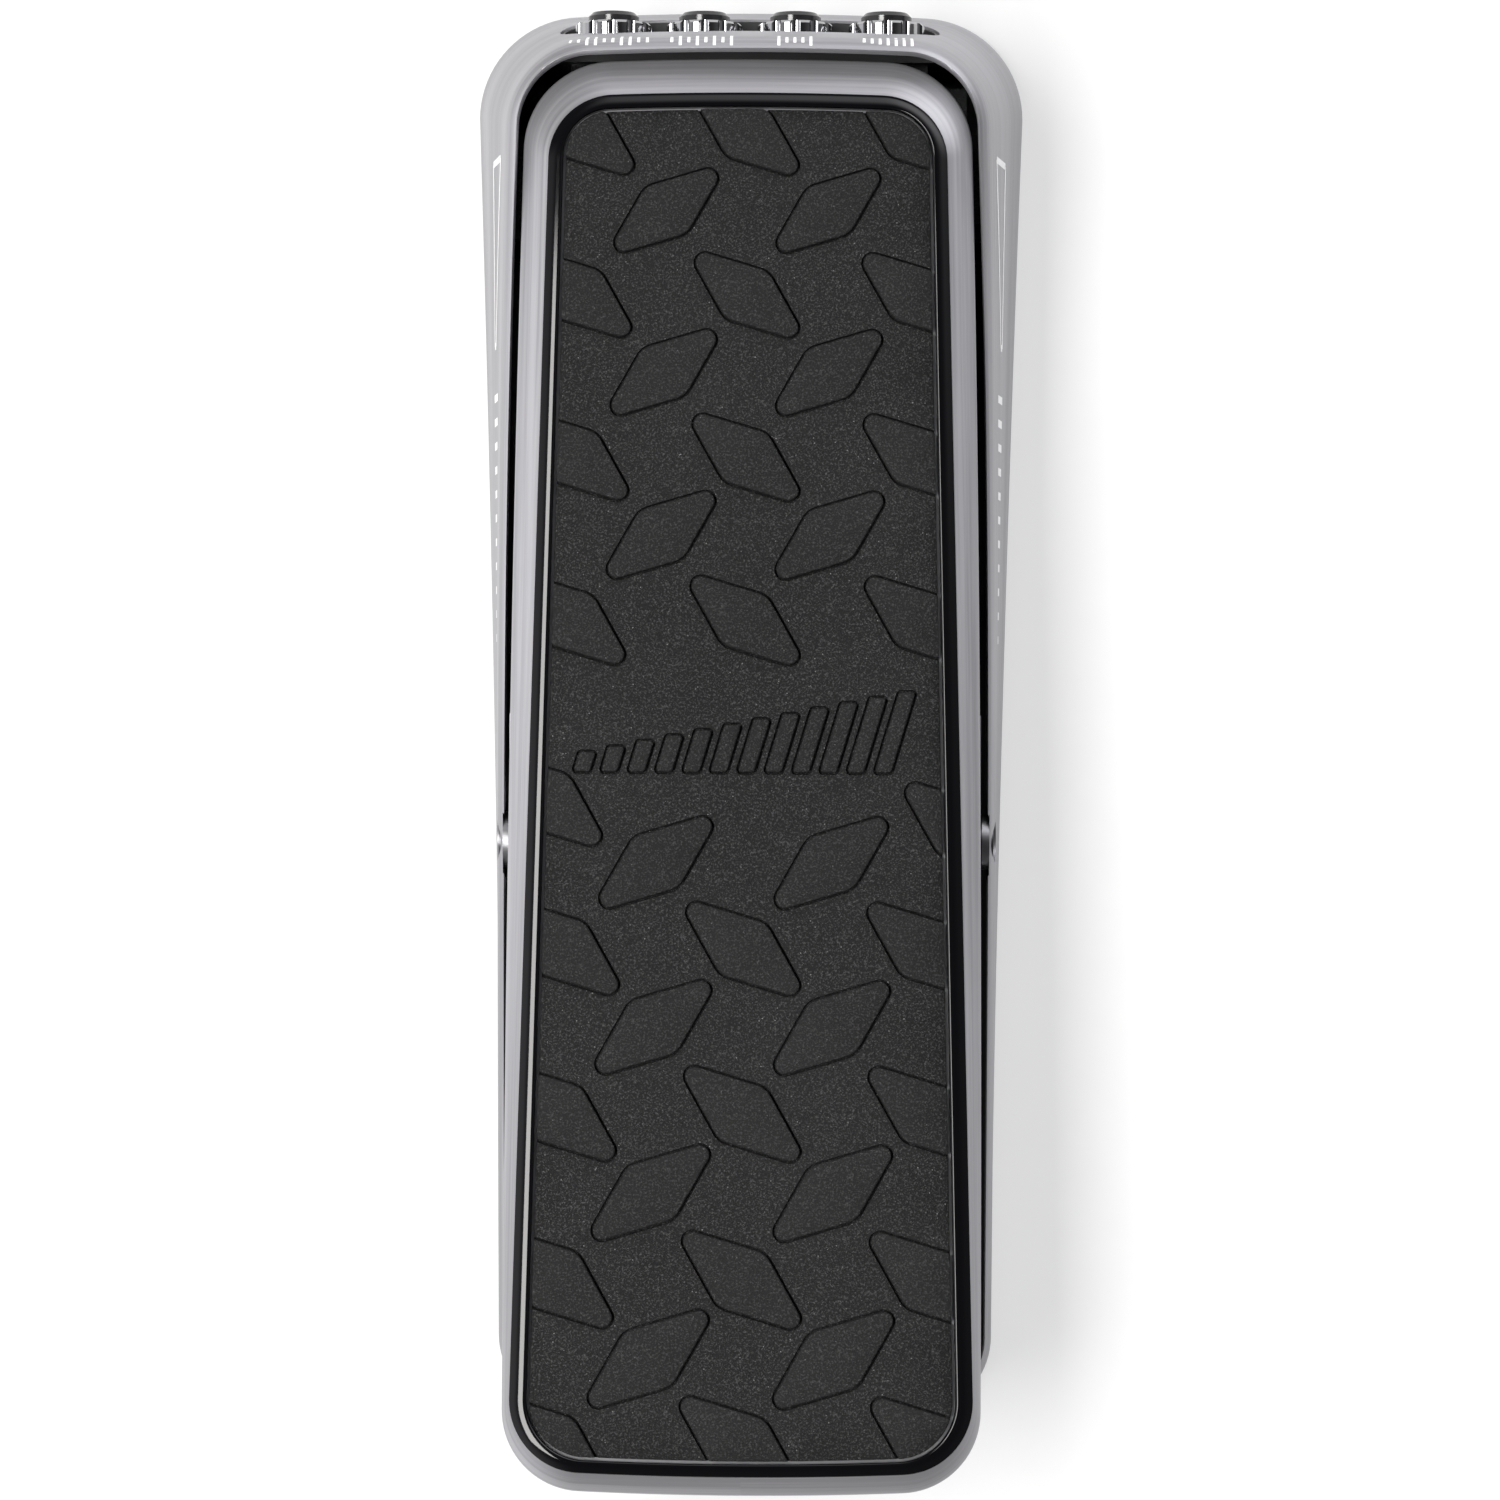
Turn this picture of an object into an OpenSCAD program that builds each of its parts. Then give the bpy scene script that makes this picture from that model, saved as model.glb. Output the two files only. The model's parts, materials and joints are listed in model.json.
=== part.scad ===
// Full-size rocker volume pedal: cast chassis, rocking treadle, steel-band drive to a
// potentiometer, four 6.35 mm jacks in the toe. Millimetres. +Y is the toe, +Z is up.
// The origin is on the floor, below the middle of the pedal.

/* [Chassis] */
// Y of the toe face at the bottom edge
toe_y = 141.6; // [140:0.2:143]
// Y of the heel end of the chassis
heel_y = -135; // [-137:1:-133]
// Half width of the bottom edge at the toe
base_half_toe = 53.4; // [52.5:0.1:55]
// Half width of the bottom edge at the heel
base_half_heel = 48.3; // [48:0.1:49.5]
// Height of the rim at the toe
rim_toe_z = 52; // [51:0.5:54]
// Height of the rim at the heel
rim_heel_z = 15; // [13:0.5:15]
// Wall thickness of the casting
wall = 3; // [2.8:0.1:3.2]

/* [Treadle] */
// Y of the toe edge of the treadle
treadle_toe_y = 127.3; // [126:0.1:127.5]
// Height of the treadle's top at its toe edge
treadle_toe_z = 50; // [50:0.5:52]
// Length of the treadle along its own top
treadle_l = 269; // [266:0.2:270]
// Rise of the treadle towards the heel when the toe is down, in degrees
treadle_rise = 3.85; // [3.5:0.05:4.2]

/* [Pivot and drive] */
// Y of the pivot shaft
pivot_y = -20.8; // [-22:0.2:-20]
// Height of the pivot shaft
pivot_z = 26; // [25.5:0.1:26.5]
// Radius of the pivot shaft
shaft_r = 4; // [3.5:0.25:4]
// Radius of the curved face that carries the steel band
sector_r = 64; // [62:0.5:65]
// Radius of the drum on the potentiometer shaft
drum_r = 4.8; // [4.5:0.1:5]
// Thickness of the steel band
band_t = 0.25; // [0.2:0.05:0.3]

/* [Jacks] */
// Distance between neighbouring jacks
jack_pitch = 17.5; // [17:0.1:18]
// Height of the jack axes
jack_z = 26; // [25.5:0.1:26.2]
// Bore radius of a 6.35 mm jack
jack_bore_r = 3.225; // [3.2:0.005:3.25]
// Depth of the jack bore from its mouth
jack_depth = 30; // [28:1:31]

/* [Hidden] */
$fn = 48;

eps = 0.05;
bow_r = 700;           // radius of the slight bow across both ends
base_z = 3;            // bottom edge of the casting
plate_t = 1.8;         // base plate
plate_top = base_z + plate_t + 0.2;
toe_draft = 10.6;      // how far the toe face leans back from bottom edge to rim
rim_wall_toe = 2.6;    // thickness of the side walls at the rim, at the toe
rim_wall_heel = 1.5;   // and at the heel
rim_round = [[4.6, 0], [2.4, 0.07], [1, 0.28], [0.2, 0.5], [0, 0.72]]; // drop, and part of the wall
corner_steps = 8;
bow_steps = 4;
side_steps = 8;
rim_slope = (rim_toe_z - rim_heel_z) / (toe_y - toe_draft - heel_y);

// ---------- outlines ----------
function lerp(a, b, t) = a + (b - a) * t;

// A quarter of an end: from the side (x = w) round a corner of radius r to the middle line,
// where a shallow arc of radius bow_r crosses y = end_y. dir is 1 at the toe, -1 at the heel.
function end_quarter(w, end_y, r, dir) =
  let (reach = bow_r - r,
       lift = sqrt(reach * reach - (w - r) * (w - r)),
       corner_y = lift - bow_r,
       stop = atan2(lift, w - r))
  concat(
    [for (i = [0:corner_steps]) let (a = stop * i / corner_steps)
      [w - r + r * cos(a), end_y + dir * (corner_y + r * sin(a))]],
    [for (i = [1:bow_steps]) let (a = lerp(stop, 90, i / bow_steps))
      [bow_r * cos(a), end_y + dir * (bow_r * sin(a) - bow_r)]]);

// Half width between heel and toe, following a power curve
function half_width(y, y0, y1, w0, w1, power) =
  w0 + (w1 - w0) * pow(min(1, max(0, (y - y0) / (y1 - y0))), power);

function reversed(list) = [for (i = [len(list) - 1:-1:0]) list[i]];
function mirrored(list) = [for (p = list) [-p[0], p[1]]];

// Closed outline, counter-clockwise, for ends at y0 (heel) and y1 (toe)
function outline(y0, y1, w0, w1, r0, r1, power = 1) =
  let (toe = end_quarter(w1, y1, r1, 1),
       heel = end_quarter(w0, y0, r0, -1),
       low = heel[0][1],
       high = toe[0][1],
       side = [for (i = [1:side_steps - 1]) let (y = lerp(low, high, i / side_steps))
         [half_width(y, low, high, w0, w1, power), y]],
       right = concat(reversed(heel), side, toe),
       left = mirrored(reversed(right)))
  concat(right, [for (i = [1:len(left) - 2]) left[i]]);

// Solid between outlines that all have the same number of points; each is a list of [x, y, z]
module loft(rings) {
  n = len(rings[0]);
  last = (len(rings) - 1) * n;
  polyhedron(
    points = [for (ring = rings) for (p = ring) p],
    faces = concat(
      [[for (i = [0:n - 1]) i]],
      [for (k = [0:len(rings) - 2]) for (i = [0:n - 1]) let (j = (i + 1) % n)
        each [[k * n + i, (k + 1) * n + i, (k + 1) * n + j], [k * n + i, (k + 1) * n + j, k * n + j]]],
      [[for (i = [n - 1:-1:0]) last + i]]),
    convexity = 6);
}

function at_height(points, z) = [for (p = points) [p[0], p[1], z]];

// ---------- chassis ----------
function rim_z(y) = rim_toe_z - rim_slope * (toe_y - toe_draft - y);

// Outline of the casting. t runs from 0 at the bottom edge to 1 at the rim; inset moves inward.
function chassis_outline(t, inset) =
  outline(heel_y + 0.8 * t + inset, toe_y - toe_draft * t - inset,
    base_half_heel - 0.3 * t - inset, base_half_toe - 7.5 * t - inset,
    lerp(17, 16, t) - inset, lerp(20, 17, t) - inset, lerp(1.6, 3, t));

function on_rim(points, drop) = [for (p = points) [p[0], p[1], rim_z(p[1]) - drop]];

// Inner outline of the wall at the rim; only the sides thin towards it
rim_inner = outline(heel_y + 0.8 + wall, toe_y - toe_draft - wall,
  base_half_heel - 0.3 - rim_wall_heel, base_half_toe - 7.5 - rim_wall_toe, 16 - wall, 17 - wall, 3);

module chassis_outer() {
  top = chassis_outline(1, 0);
  loft([
    at_height(chassis_outline(0, 0), base_z),
    for (step = rim_round) on_rim(top + (rim_inner - top) * step[1], step[0])]);
}

module chassis_cavity() {
  loft([
    at_height(chassis_outline(-0.02, wall), base_z - 1),
    on_rim(rim_inner, 0.6),
    on_rim(rim_inner, -1)]);
}

window_half_w = 36.5;
window_r = 11.4;

// Opening for the jacks, grown by extra, as a solid along Y
module window_shape(extra, y0, y1) {
  flat = window_half_w - window_r;
  translate([0, y1, jack_z])
    rotate([90, 0, 0])
      linear_extrude(y1 - y0) {
        square([2 * flat, 2 * (window_r + extra)], center = true);
        for (side = [-1, 1]) translate([side * flat, 0]) circle(r = window_r + extra);
      }
}

base_screw_at = [for (side = [-1, 1]) each [[side * 45, 96], [side * 43.6, 18], [side * 41.4, -104]]];
ledge_top = 34.9;
bumper_h = 3.4;
recess_r = 7.5;
recess_x = 46.6;

// Post cast to the wall for a base plate screw
module screw_post(at) {
  translate([at[0], at[1], plate_top]) cylinder(r = 3.8, h = 8);
  translate([at[0] + sign(at[0]) * 2.4, at[1], plate_top + 4]) cube([4.8, 5, 8], center = true);
}

// Ledge inside the toe end that carries a rubber bumper
module toe_ledge(side) {
  translate([side * 43.2, 104, ledge_top - 2.5]) cube([8.4, 20, 5], center = true);
}

module chassis() {
  color("#a9a9b4") difference() {
    union() {
      difference() {
        chassis_outer();
        chassis_cavity();
      }
      intersection() {
        chassis_outer();
        union() {
          for (at = base_screw_at) screw_post(at);
          for (side = [-1, 1]) toe_ledge(side);
        }
      }
    }
    window_shape(0, toe_y - 20, toe_y + 2);
    for (at = base_screw_at)
      translate([at[0], at[1], plate_top - 1]) cylinder(r = 1.25, h = 7);
    translate([-60, pivot_y, pivot_z]) rotate([0, 90, 0]) cylinder(r = shaft_r, h = 120);
    for (side = [-1, 1])
      translate([side * (recess_x - 3), pivot_y, pivot_z])
        rotate([0, 90, 0]) cylinder(r = recess_r, h = 6, center = true);
  }
}

// ---------- base ----------
foot_at = [for (side = [-1, 1], y = [104, -104]) [side * 28, y]];
foot_h = 3.2;
tension_hole_at = [-18, -35];

module base_plate() {
  color("#26272b") difference() {
    translate([0, 0, base_z + 0.2])
      linear_extrude(plate_t) polygon(chassis_outline(0.06, wall + 0.4));
    for (at = base_screw_at) translate([at[0], at[1], 0]) cylinder(r = 1.7, h = 10);
    for (at = foot_at) translate([at[0], at[1], 0]) cylinder(r = 1.25, h = 10);
    for (at = bracket_screw_at) translate([at[0], at[1], 0]) cylinder(r = 1.25, h = 10);
    for (at = standoff_at) translate([at[0], at[1], 0]) cylinder(r = 1.25, h = 10);
    translate([tension_hole_at[0], tension_hole_at[1], 0]) cylinder(r = 4, h = 10);
  }
}

// Screw with a low round head and a hexagon socket, head down, standing on z = 0
module cap_screw(r, l, head_r, head_h) {
  difference() {
    union() {
      cylinder(r = head_r, h = head_h);
      cylinder(r = r, h = head_h + l);
    }
    translate([0, 0, -eps]) cylinder(r = r * 0.62, h = head_h * 0.7, $fn = 6);
  }
}

module base_screws() {
  color("#3a3b40") for (at = base_screw_at)
    translate([at[0], at[1], base_z + 0.2 - 1.6]) cap_screw(1.25, 7, 2.9, 1.6);
}

module feet() {
  color("#1c1c1d") for (at = foot_at) translate([at[0], at[1], 0])
    difference() {
      union() {
        cylinder(r1 = 8.2, r2 = 9, h = 1);
        translate([0, 0, 1]) cylinder(r = 9, h = foot_h - 1);
      }
      translate([0, 0, -eps]) cylinder(r = 4, h = 1.7);
      cylinder(r = 1.25, h = 10);
    }
}

module foot_screws() {
  color("#9b9ca0") for (at = foot_at)
    translate([at[0], at[1], 0.45]) cap_screw(1.25, 6, 3, 1.2);
}

// ---------- jacks ----------
panel_y = 129.5;
jack_x = [for (i = [0:3]) (i - 1.5) * jack_pitch];
jack_tip_y = 138.3;
barrel_r = 4.9;
jack_body = [15.6, 25, 14.8];
panel_back = panel_y - 2;
panel_top = 37;

module along_y(x, y, z) { translate([x, y, z]) rotate([-90, 0, 0]) children(); }

module jack_panel() {
  color("#151517") difference() {
    union() {
      translate([0, panel_y, 0]) rotate([90, 0, 0]) linear_extrude(panel_y - panel_back)
        polygon([[-40, plate_top], [40, plate_top], [40, 28], [35, panel_top], [-35, panel_top], [-40, 28]]);
      intersection() {
        difference() {
          window_shape(-0.05, panel_y - eps, toe_y);
          window_shape(-0.9, panel_y - 1, toe_y + 1);
        }
        translate([0, -0.4, 0]) chassis_outer();
        translate([-50, 100, 0]) cube([100, 50, panel_top]);
      }
    }
    for (x = jack_x) along_y(x, panel_back - 1, jack_z) cylinder(r = barrel_r, h = 4);
  }
}

module jack(x) {
  color("#1b1b1e") difference() {
    union() {
      translate([x - jack_body[0] / 2, panel_back - jack_body[1], jack_z - jack_body[2] / 2])
        cube(jack_body);
      along_y(x, panel_back - eps, jack_z)
        cylinder(r = barrel_r, h = jack_tip_y - panel_back - 0.8 + eps);
      along_y(x, jack_tip_y - 0.8, jack_z) cylinder(r1 = barrel_r, r2 = barrel_r - 0.8, h = 0.8);
    }
    along_y(x, jack_tip_y - jack_depth, jack_z) cylinder(r = jack_bore_r, h = jack_depth + 1);
  }
}

module jack_1() { jack(jack_x[0]); }
module jack_2() { jack(jack_x[1]); }
module jack_3() { jack(jack_x[2]); }
module jack_4() { jack(jack_x[3]); }

module jack_washers() {
  color("#c9cacc") for (x = jack_x) along_y(x, panel_y, jack_z)
    difference() {
      cylinder(r = 7, h = 0.8);
      translate([0, 0, -1]) cylinder(r = barrel_r, h = 3);
    }
}

nut_r = 7.35;
nut_lobes = 12;

module jack_nuts() {
  color("#dfe0e3") for (x = jack_x) along_y(x, panel_y + 0.8, jack_z)
    difference() {
      union() {
        cylinder(r = nut_r, h = 5.4);
        translate([0, 0, 5.4]) cylinder(r1 = nut_r, r2 = nut_r - 0.5, h = 0.5);
      }
      translate([0, 0, -1]) cylinder(r = barrel_r, h = 9);
      for (i = [0:nut_lobes - 1]) rotate(i * 360 / nut_lobes)
        translate([nut_r + 0.35, 0, 1.4]) cylinder(r = 1.15, h = 9, $fn = 24);
    }
}

// ---------- circuit board ----------
board_z = jack_z - jack_body[2] / 2 - 1.6;
board_y = [76, 125];
socket_y = 80;
standoff_at = [for (side = [-1, 1], y = [81, 99]) [side * 38, y]];

module circuit_board() {
  color("#1f5a37") difference() {
    translate([-42, board_y[0], board_z]) cube([84, board_y[1] - board_y[0], 1.6]);
    for (at = standoff_at) translate([at[0], at[1], board_z - 1]) cylinder(r = 1.5, h = 5);
  }
}

module board_standoffs() {
  color("#c8a85a") for (at = standoff_at) translate([at[0], at[1], plate_top])
    difference() {
      cylinder(r = 3, h = board_z - plate_top, $fn = 6);
      translate([0, 0, 2]) cylinder(r = 1.25, h = 20);
    }
}

module board_screws() {
  color("#9b9ca0") for (at = standoff_at)
    translate([at[0], at[1], board_z + 1.6 + 1.6]) mirror([0, 0, 1]) cap_screw(1.25, 6, 2.7, 1.6);
}

module board_parts() {
  top = board_z + 1.6;
  color("#222225") for (x = [-20, 20]) translate([x, 84, top]) cube([9.8, 6.4, 3.4]);
  color("#3b3b6a") for (x = [-30, -3, 22])
    translate([x, 94, top]) cylinder(r = 3.1, h = 7);
  color("#e8e4d6") translate([lug_x - 3.2, socket_y, top]) cube([8, 5, 6]);
  color("#b98c4a") for (i = [0:4]) translate([-26 + i * 4.4, 79.6, top])
    cube([2.4, 1.4, 1.2]);
}

// ---------- potentiometer ----------
contact_a = 5;
drum_gap = 0.2;
drum_d = sector_r + 2 * band_t + drum_gap + drum_r;
drum_y = pivot_y + drum_d * cos(contact_a);
drum_z = pivot_z + drum_d * sin(contact_a);
bracket_x = 8;
bracket_t = 1.8;
pot_r = 8.4;
pot_x = bracket_x + bracket_t;
bushing_r = 4.5;
pot_shaft_r = 3;
bracket_screw_at = [for (y = [-9, 9]) [15, drum_y + y]];

module along_x(x, y, z) { translate([x, y, z]) rotate([0, 90, 0]) children(); }

module pot_bracket() {
  foot_w = 15;
  color("#b9bbc0") difference() {
    union() {
      translate([bracket_x, drum_y - 13, plate_top]) cube([foot_w, 26, bracket_t]);
      translate([bracket_x, drum_y - 9, plate_top]) cube([bracket_t, 18, drum_z - plate_top]);
      along_x(bracket_x, drum_y, drum_z) cylinder(r = 9, h = bracket_t);
    }
    along_x(bracket_x - 1, drum_y, drum_z) cylinder(r = bushing_r, h = 5);
    for (at = bracket_screw_at) translate([at[0], at[1], plate_top - 1]) cylinder(r = 1.25, h = 5);
  }
}

module bracket_screws() {
  color("#3a3b40") for (at = bracket_screw_at)
    translate([at[0], at[1], base_z + 0.2 - 1.6]) cap_screw(1.25, 4, 2.9, 1.6);
}

module pot_body() {
  color("#a8a9ad") difference() {
    union() {
      along_x(pot_x, drum_y, drum_z) cylinder(r = pot_r, h = 9);
      along_x(bracket_x - 3.4, drum_y, drum_z) cylinder(r = bushing_r, h = 5.5);
    }
    along_x(bracket_x - 5, drum_y, drum_z) cylinder(r = pot_shaft_r + 0.04, h = 13);
  }
}

module pot_nut() {
  color("#dfe0e3") along_x(bracket_x - 2.2, drum_y, drum_z) difference() {
    cylinder(r = 7, h = 2.2, $fn = 6);
    translate([0, 0, -1]) cylinder(r = bushing_r, h = 5);
  }
}

lug_x = pot_x + 2.2;
lug_y = drum_y + pot_r;
lug_t = 0.8;
lug_pitch = 4.2;
module pot_lugs() {
  color("#d9c27a") for (i = [-1:1])
    translate([lug_x, lug_y, drum_z - 0.9 + i * lug_pitch]) cube([lug_t, 5.8, 1.8]);
}

// Ribbon of three wires from the potentiometer's lugs to the board
module pot_wires() {
  color("#b03a34") for (i = [-1:1]) {
    z = drum_z + i * lug_pitch;
    end_z = board_z + 4.6 + i * 1.5;
    drop_y = lug_y + 7.5 + i * 1.5;
    translate([lug_x + lug_t, lug_y + 3, z - 0.5]) cube([1, drop_y - lug_y - 2, 1]);
    translate([lug_x + lug_t, drop_y, end_z - 0.5]) cube([1, 1, z - end_z + 1]);
    translate([lug_x + lug_t, drop_y, end_z - 0.5]) cube([1, socket_y - drop_y, 1]);
  }
}

// ---------- pivot ----------
shaft_half = 47.4;
ear_out = 44.3;
ear_in = 38.3;
bushing_flange = 0.5;

module pivot_shaft() {
  color("#c4c6ca") difference() {
    along_x(-shaft_half, pivot_y, pivot_z) cylinder(r = shaft_r, h = 2 * shaft_half);
    for (side = [-1, 1]) along_x(side * shaft_half - 2.5, pivot_y, pivot_z)
      cylinder(r = 2.3, h = 5, $fn = 6);
  }
}

module pivot_washers() {
  color("#d6d7da") for (side = [-1, 1])
    along_x(side > 0 ? ear_out + 0.9 : -recess_x, pivot_y, pivot_z) difference() {
      cylinder(r = 5.4, h = recess_x - ear_out - 0.9);
      translate([0, 0, -1]) cylinder(r = shaft_r + 0.05, h = 5);
    }
}

module pivot_bushings() {
  color("#d8d2c0") for (side = [-1, 1])
    along_x(side > 0 ? ear_in : -ear_out, pivot_y, pivot_z) difference() {
      union() {
        cylinder(r = 5.6, h = ear_out - ear_in);
        translate([0, 0, side > 0 ? ear_out - ear_in : -bushing_flange])
          cylinder(r = 6.8, h = bushing_flange);
      }
      translate([0, 0, -2]) cylinder(r = shaft_r + 0.04, h = 10);
    }
}

// ---------- treadle ----------
skirt_toe = 12;
skirt_heel = 20;
skirt_wall = 2.6;
plate_under = -5.6;
trim_floor = -3;
bevel_low = -4.6;
bevel_high = -1.2;
heel_lean = 1.3;       // how far the bottom of the heel face leans forward, which makes it upright

// Places its children in the treadle's own frame: y = 0 at the toe edge, -treadle_l at the
// heel edge, z = 0 on the crest of the trim.
module in_treadle() {
  translate([0, treadle_toe_y, treadle_toe_z]) rotate([-treadle_rise, 0, 0]) children();
}

function treadle_outline(inset, lean = 0) = outline(-treadle_l + lean + inset, -inset,
  44.4 - inset, 42.3 - inset, 15 - inset, 17 - inset, 2.5);
function trim_outline(inset) = outline(-treadle_l + 3.6 + inset, -7.1 - inset,
  42.85 - inset, 37.5 - inset, 13.5 - inset, 12.5 - inset);
function mat_outline(inset) = outline(-treadle_l + 6.1 + inset, -9.8 - inset,
  39.6 - inset, 34.6 - inset, 11 - inset, 9 - inset);

// The skirt is deeper at the heel than at the toe
module below_skirt() {
  taper = atan((skirt_heel - skirt_toe) / treadle_l);
  translate([0, 0, -skirt_toe]) rotate([taper, 0, 0])
    translate([-60, -treadle_l - 20, -60]) cube([120, treadle_l + 40, 60]);
}

module ear(side) {
  x = side > 0 ? ear_in : -ear_out;
  translate([x, 0, 0]) rotate([90, 0, 90]) linear_extrude(ear_out - ear_in) {
    translate([pivot_y, pivot_z]) circle(r = 8.5);
    polygon([[pivot_y - 8.5, pivot_z], [pivot_y + 8.5, pivot_z],
      [pivot_y + 22, 50], [pivot_y - 22, 50]]);
  }
}

heel_rib_y = -251.8;
rib_x = 15;
rib_t = 2.4;
rib_low = -9;

module treadle() {
  color("#a3a3ae") difference() {
    union() {
      in_treadle() difference() {
        loft([
          at_height(treadle_outline(0, heel_lean), -24),
          at_height(treadle_outline(0), bevel_low),
          at_height(trim_outline(-0.1), bevel_high)]);
        difference() {
          translate([0, 0, -30])
            linear_extrude(30 + plate_under) polygon(treadle_outline(skirt_wall, heel_lean));
          translate([-45, heel_rib_y, -18]) cube([90, 3, 14]);
          for (x = [-rib_x, rib_x])
            translate([x - rib_t / 2, -treadle_l, rib_low]) cube([rib_t, treadle_l, -rib_low]);
        }
        translate([0, 0, trim_floor]) linear_extrude(10) polygon(trim_outline(0));
        below_skirt();
      }
      for (side = [-1, 1]) ear(side);
    }
    for (side = [-1, 1])
      along_x(side > 0 ? ear_in - 1 : -ear_out - 1, pivot_y, pivot_z) cylinder(r = 5.6, h = 8);
    in_treadle() for (at = arm_screw_at)
      translate([at[0], at[1], plate_under - 1]) cylinder(r = 1.25, h = 3.2);
  }
}

module treadle_trim() {
  color("#08080a") in_treadle() difference() {
    loft([
      at_height(trim_outline(0), trim_floor),
      at_height(trim_outline(0), -1.1),
      at_height(trim_outline(1.3), -0.3),
      at_height(trim_outline(2.3), 0)]);
    translate([0, 0, trim_floor - 1]) linear_extrude(10) polygon(mat_outline(0));
  }
}

// ---------- tread ----------
mat_gap = 0.5;
mat_top = -1.1;
block_h = 0.6;
row_pitch = 30.6;
slash_row = -29.4;     // first row of blocks that lean right; the others lean left
back_row = -14.8;
slash_x = 14.95;
back_x = 30.6;
slash_rows = [0, 1, 2, 4, 5, 6, 7];
back_rows = [0, 1, 2, 3, 5, 6, 7, 8];
emblem_blocks = [[-34, -140.4], [37.2, -145.4]]; // the two blocks beside the emblem

// How much wider the pattern is at y than at the toe
function spread(y) = 1 + 0.16 * (-y / treadle_l);

// Leaning rhombus with its sharp corners at lower left and upper right; lean -1 mirrors it
module block(x, y, lean) {
  k = spread(y);
  translate([x * k, y, mat_top - eps])
    linear_extrude(block_h + eps)
      polygon([[lean * 11.2 * k, 8.8 * k], [lean * -3.8 * k, 4.3 * k],
        [lean * -11.2 * k, -8.8 * k], [lean * 3.8 * k, -4.3 * k]]);
}

module tread_mat() {
  color("#38383a") in_treadle() {
    translate([0, 0, trim_floor])
      linear_extrude(mat_top - trim_floor) polygon(mat_outline(mat_gap));
    intersection() {
      translate([0, 0, trim_floor]) linear_extrude(5) polygon(mat_outline(mat_gap + 0.2));
      union() {
        for (row = slash_rows, x = [-slash_x, slash_x]) block(x, slash_row - row * row_pitch, 1);
        for (row = back_rows, x = [-back_x, 0, back_x]) block(x, back_row - row * row_pitch, -1);
        for (at = emblem_blocks) block(at[0], at[1], -1);
      }
    }
  }
}

// ---------- drive ----------
arm_half = 3.5;
arc_low = -17.5;
arc_high = 13;
arm_rim = 7;
flange_t = 3;
arm_screw_at = [for (x = [-8.5, 8.5]) [x, -86]];

// Ring section about the pivot axis with true curved faces, half_w to each side of x = 0
module sector_band(r0, r1, a0, a1, half_w) {
  translate([0, pivot_y, pivot_z]) rotate([90, 0, 90]) rotate([0, 0, a0])
    rotate_extrude(angle = a1 - a0, $fn = 96)
      translate([r0, -half_w]) square([r1 - r0, 2 * half_w]);
}

module drive_arm() {
  under = 51;
  color("#2b2c30") difference() {
    union() {
      sector_band(sector_r - arm_rim, sector_r, arc_low, arc_high, arm_half);
      translate([-2.5, 0, 0]) rotate([90, 0, 90]) linear_extrude(5)
        polygon([[36.6, 14], [40.5, 12.6], [42, 22], [40.8, 41], [44, under - 3],
          [30, under - 2], [33, 40], [36.4, 26]]);
      in_treadle() translate([-13, -97, plate_under - flange_t]) cube([26, 22, flange_t]);
    }
    in_treadle() for (at = arm_screw_at)
      translate([at[0], at[1], plate_under - flange_t - 1]) cylinder(r = 1.25, h = 6);
  }
}

module arm_screws() {
  color("#9b9ca0") in_treadle() for (at = arm_screw_at)
    translate([at[0], at[1], plate_under - flange_t - 1.6]) cap_screw(1.25, 5, 2.6, 1.6);
}

module drive_band() {
  color("#e3e4e6")
    sector_band(sector_r, sector_r + band_t, arc_low + 0.2, arc_high - 0.2, 2.5);
}

module on_arc(a) {
  translate([0, pivot_y + sector_r * cos(a), pivot_z + sector_r * sin(a)]) rotate([a, 0, 0]) children();
}

clamp_a = [arc_low + 1.6, arc_high - 1.4];

module band_clamps() {
  color("#b9bbc0") for (a = clamp_a) on_arc(a) difference() {
    translate([-3.3, band_t, -1.3]) cube([6.6, 0.8, 2.6]);
    along_y(0, -1, 0) cylinder(r = 0.8, h = 4);
  }
}

module band_screws() {
  color("#3a3b40") for (a = clamp_a) on_arc(a) along_y(0, band_t + 0.8, 0)
    cylinder(r = 1.1, h = 0.6);
}

module drive_drum() {
  color("#c8b26a") along_x(-3.6, drum_y, drum_z) difference() {
    cylinder(r = drum_r, h = 7.2);
    translate([0, 0, -1]) cylinder(r = pot_shaft_r, h = 10);
    translate([drum_r, 0, 1.5]) rotate([0, -90, 0]) cylinder(r = 0.6, h = 4, center = true);
  }
}

module drum_screw() {
  color("#3a3b40") along_x(-3.6, drum_y, drum_z)
    translate([drum_r - 0.2, 0, 1.5]) rotate([0, -90, 0]) cylinder(r = 0.6, h = 1.6);
}

module band_loop() {
  color("#e3e4e6") along_x(-0.9, drum_y, drum_z) difference() {
    cylinder(r = drum_r + band_t, h = 3.4);
    translate([0, 0, -1]) cylinder(r = drum_r, h = 6);
  }
}

module pot_shaft() {
  color("#c4c6ca") along_x(-4.6, drum_y, drum_z) cylinder(r = pot_shaft_r, h = 19);
}

// ---------- rocker tension ----------
clamp_x = [-24, -12];
clamp_slit = 1.2;
tension_r = 2;

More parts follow.
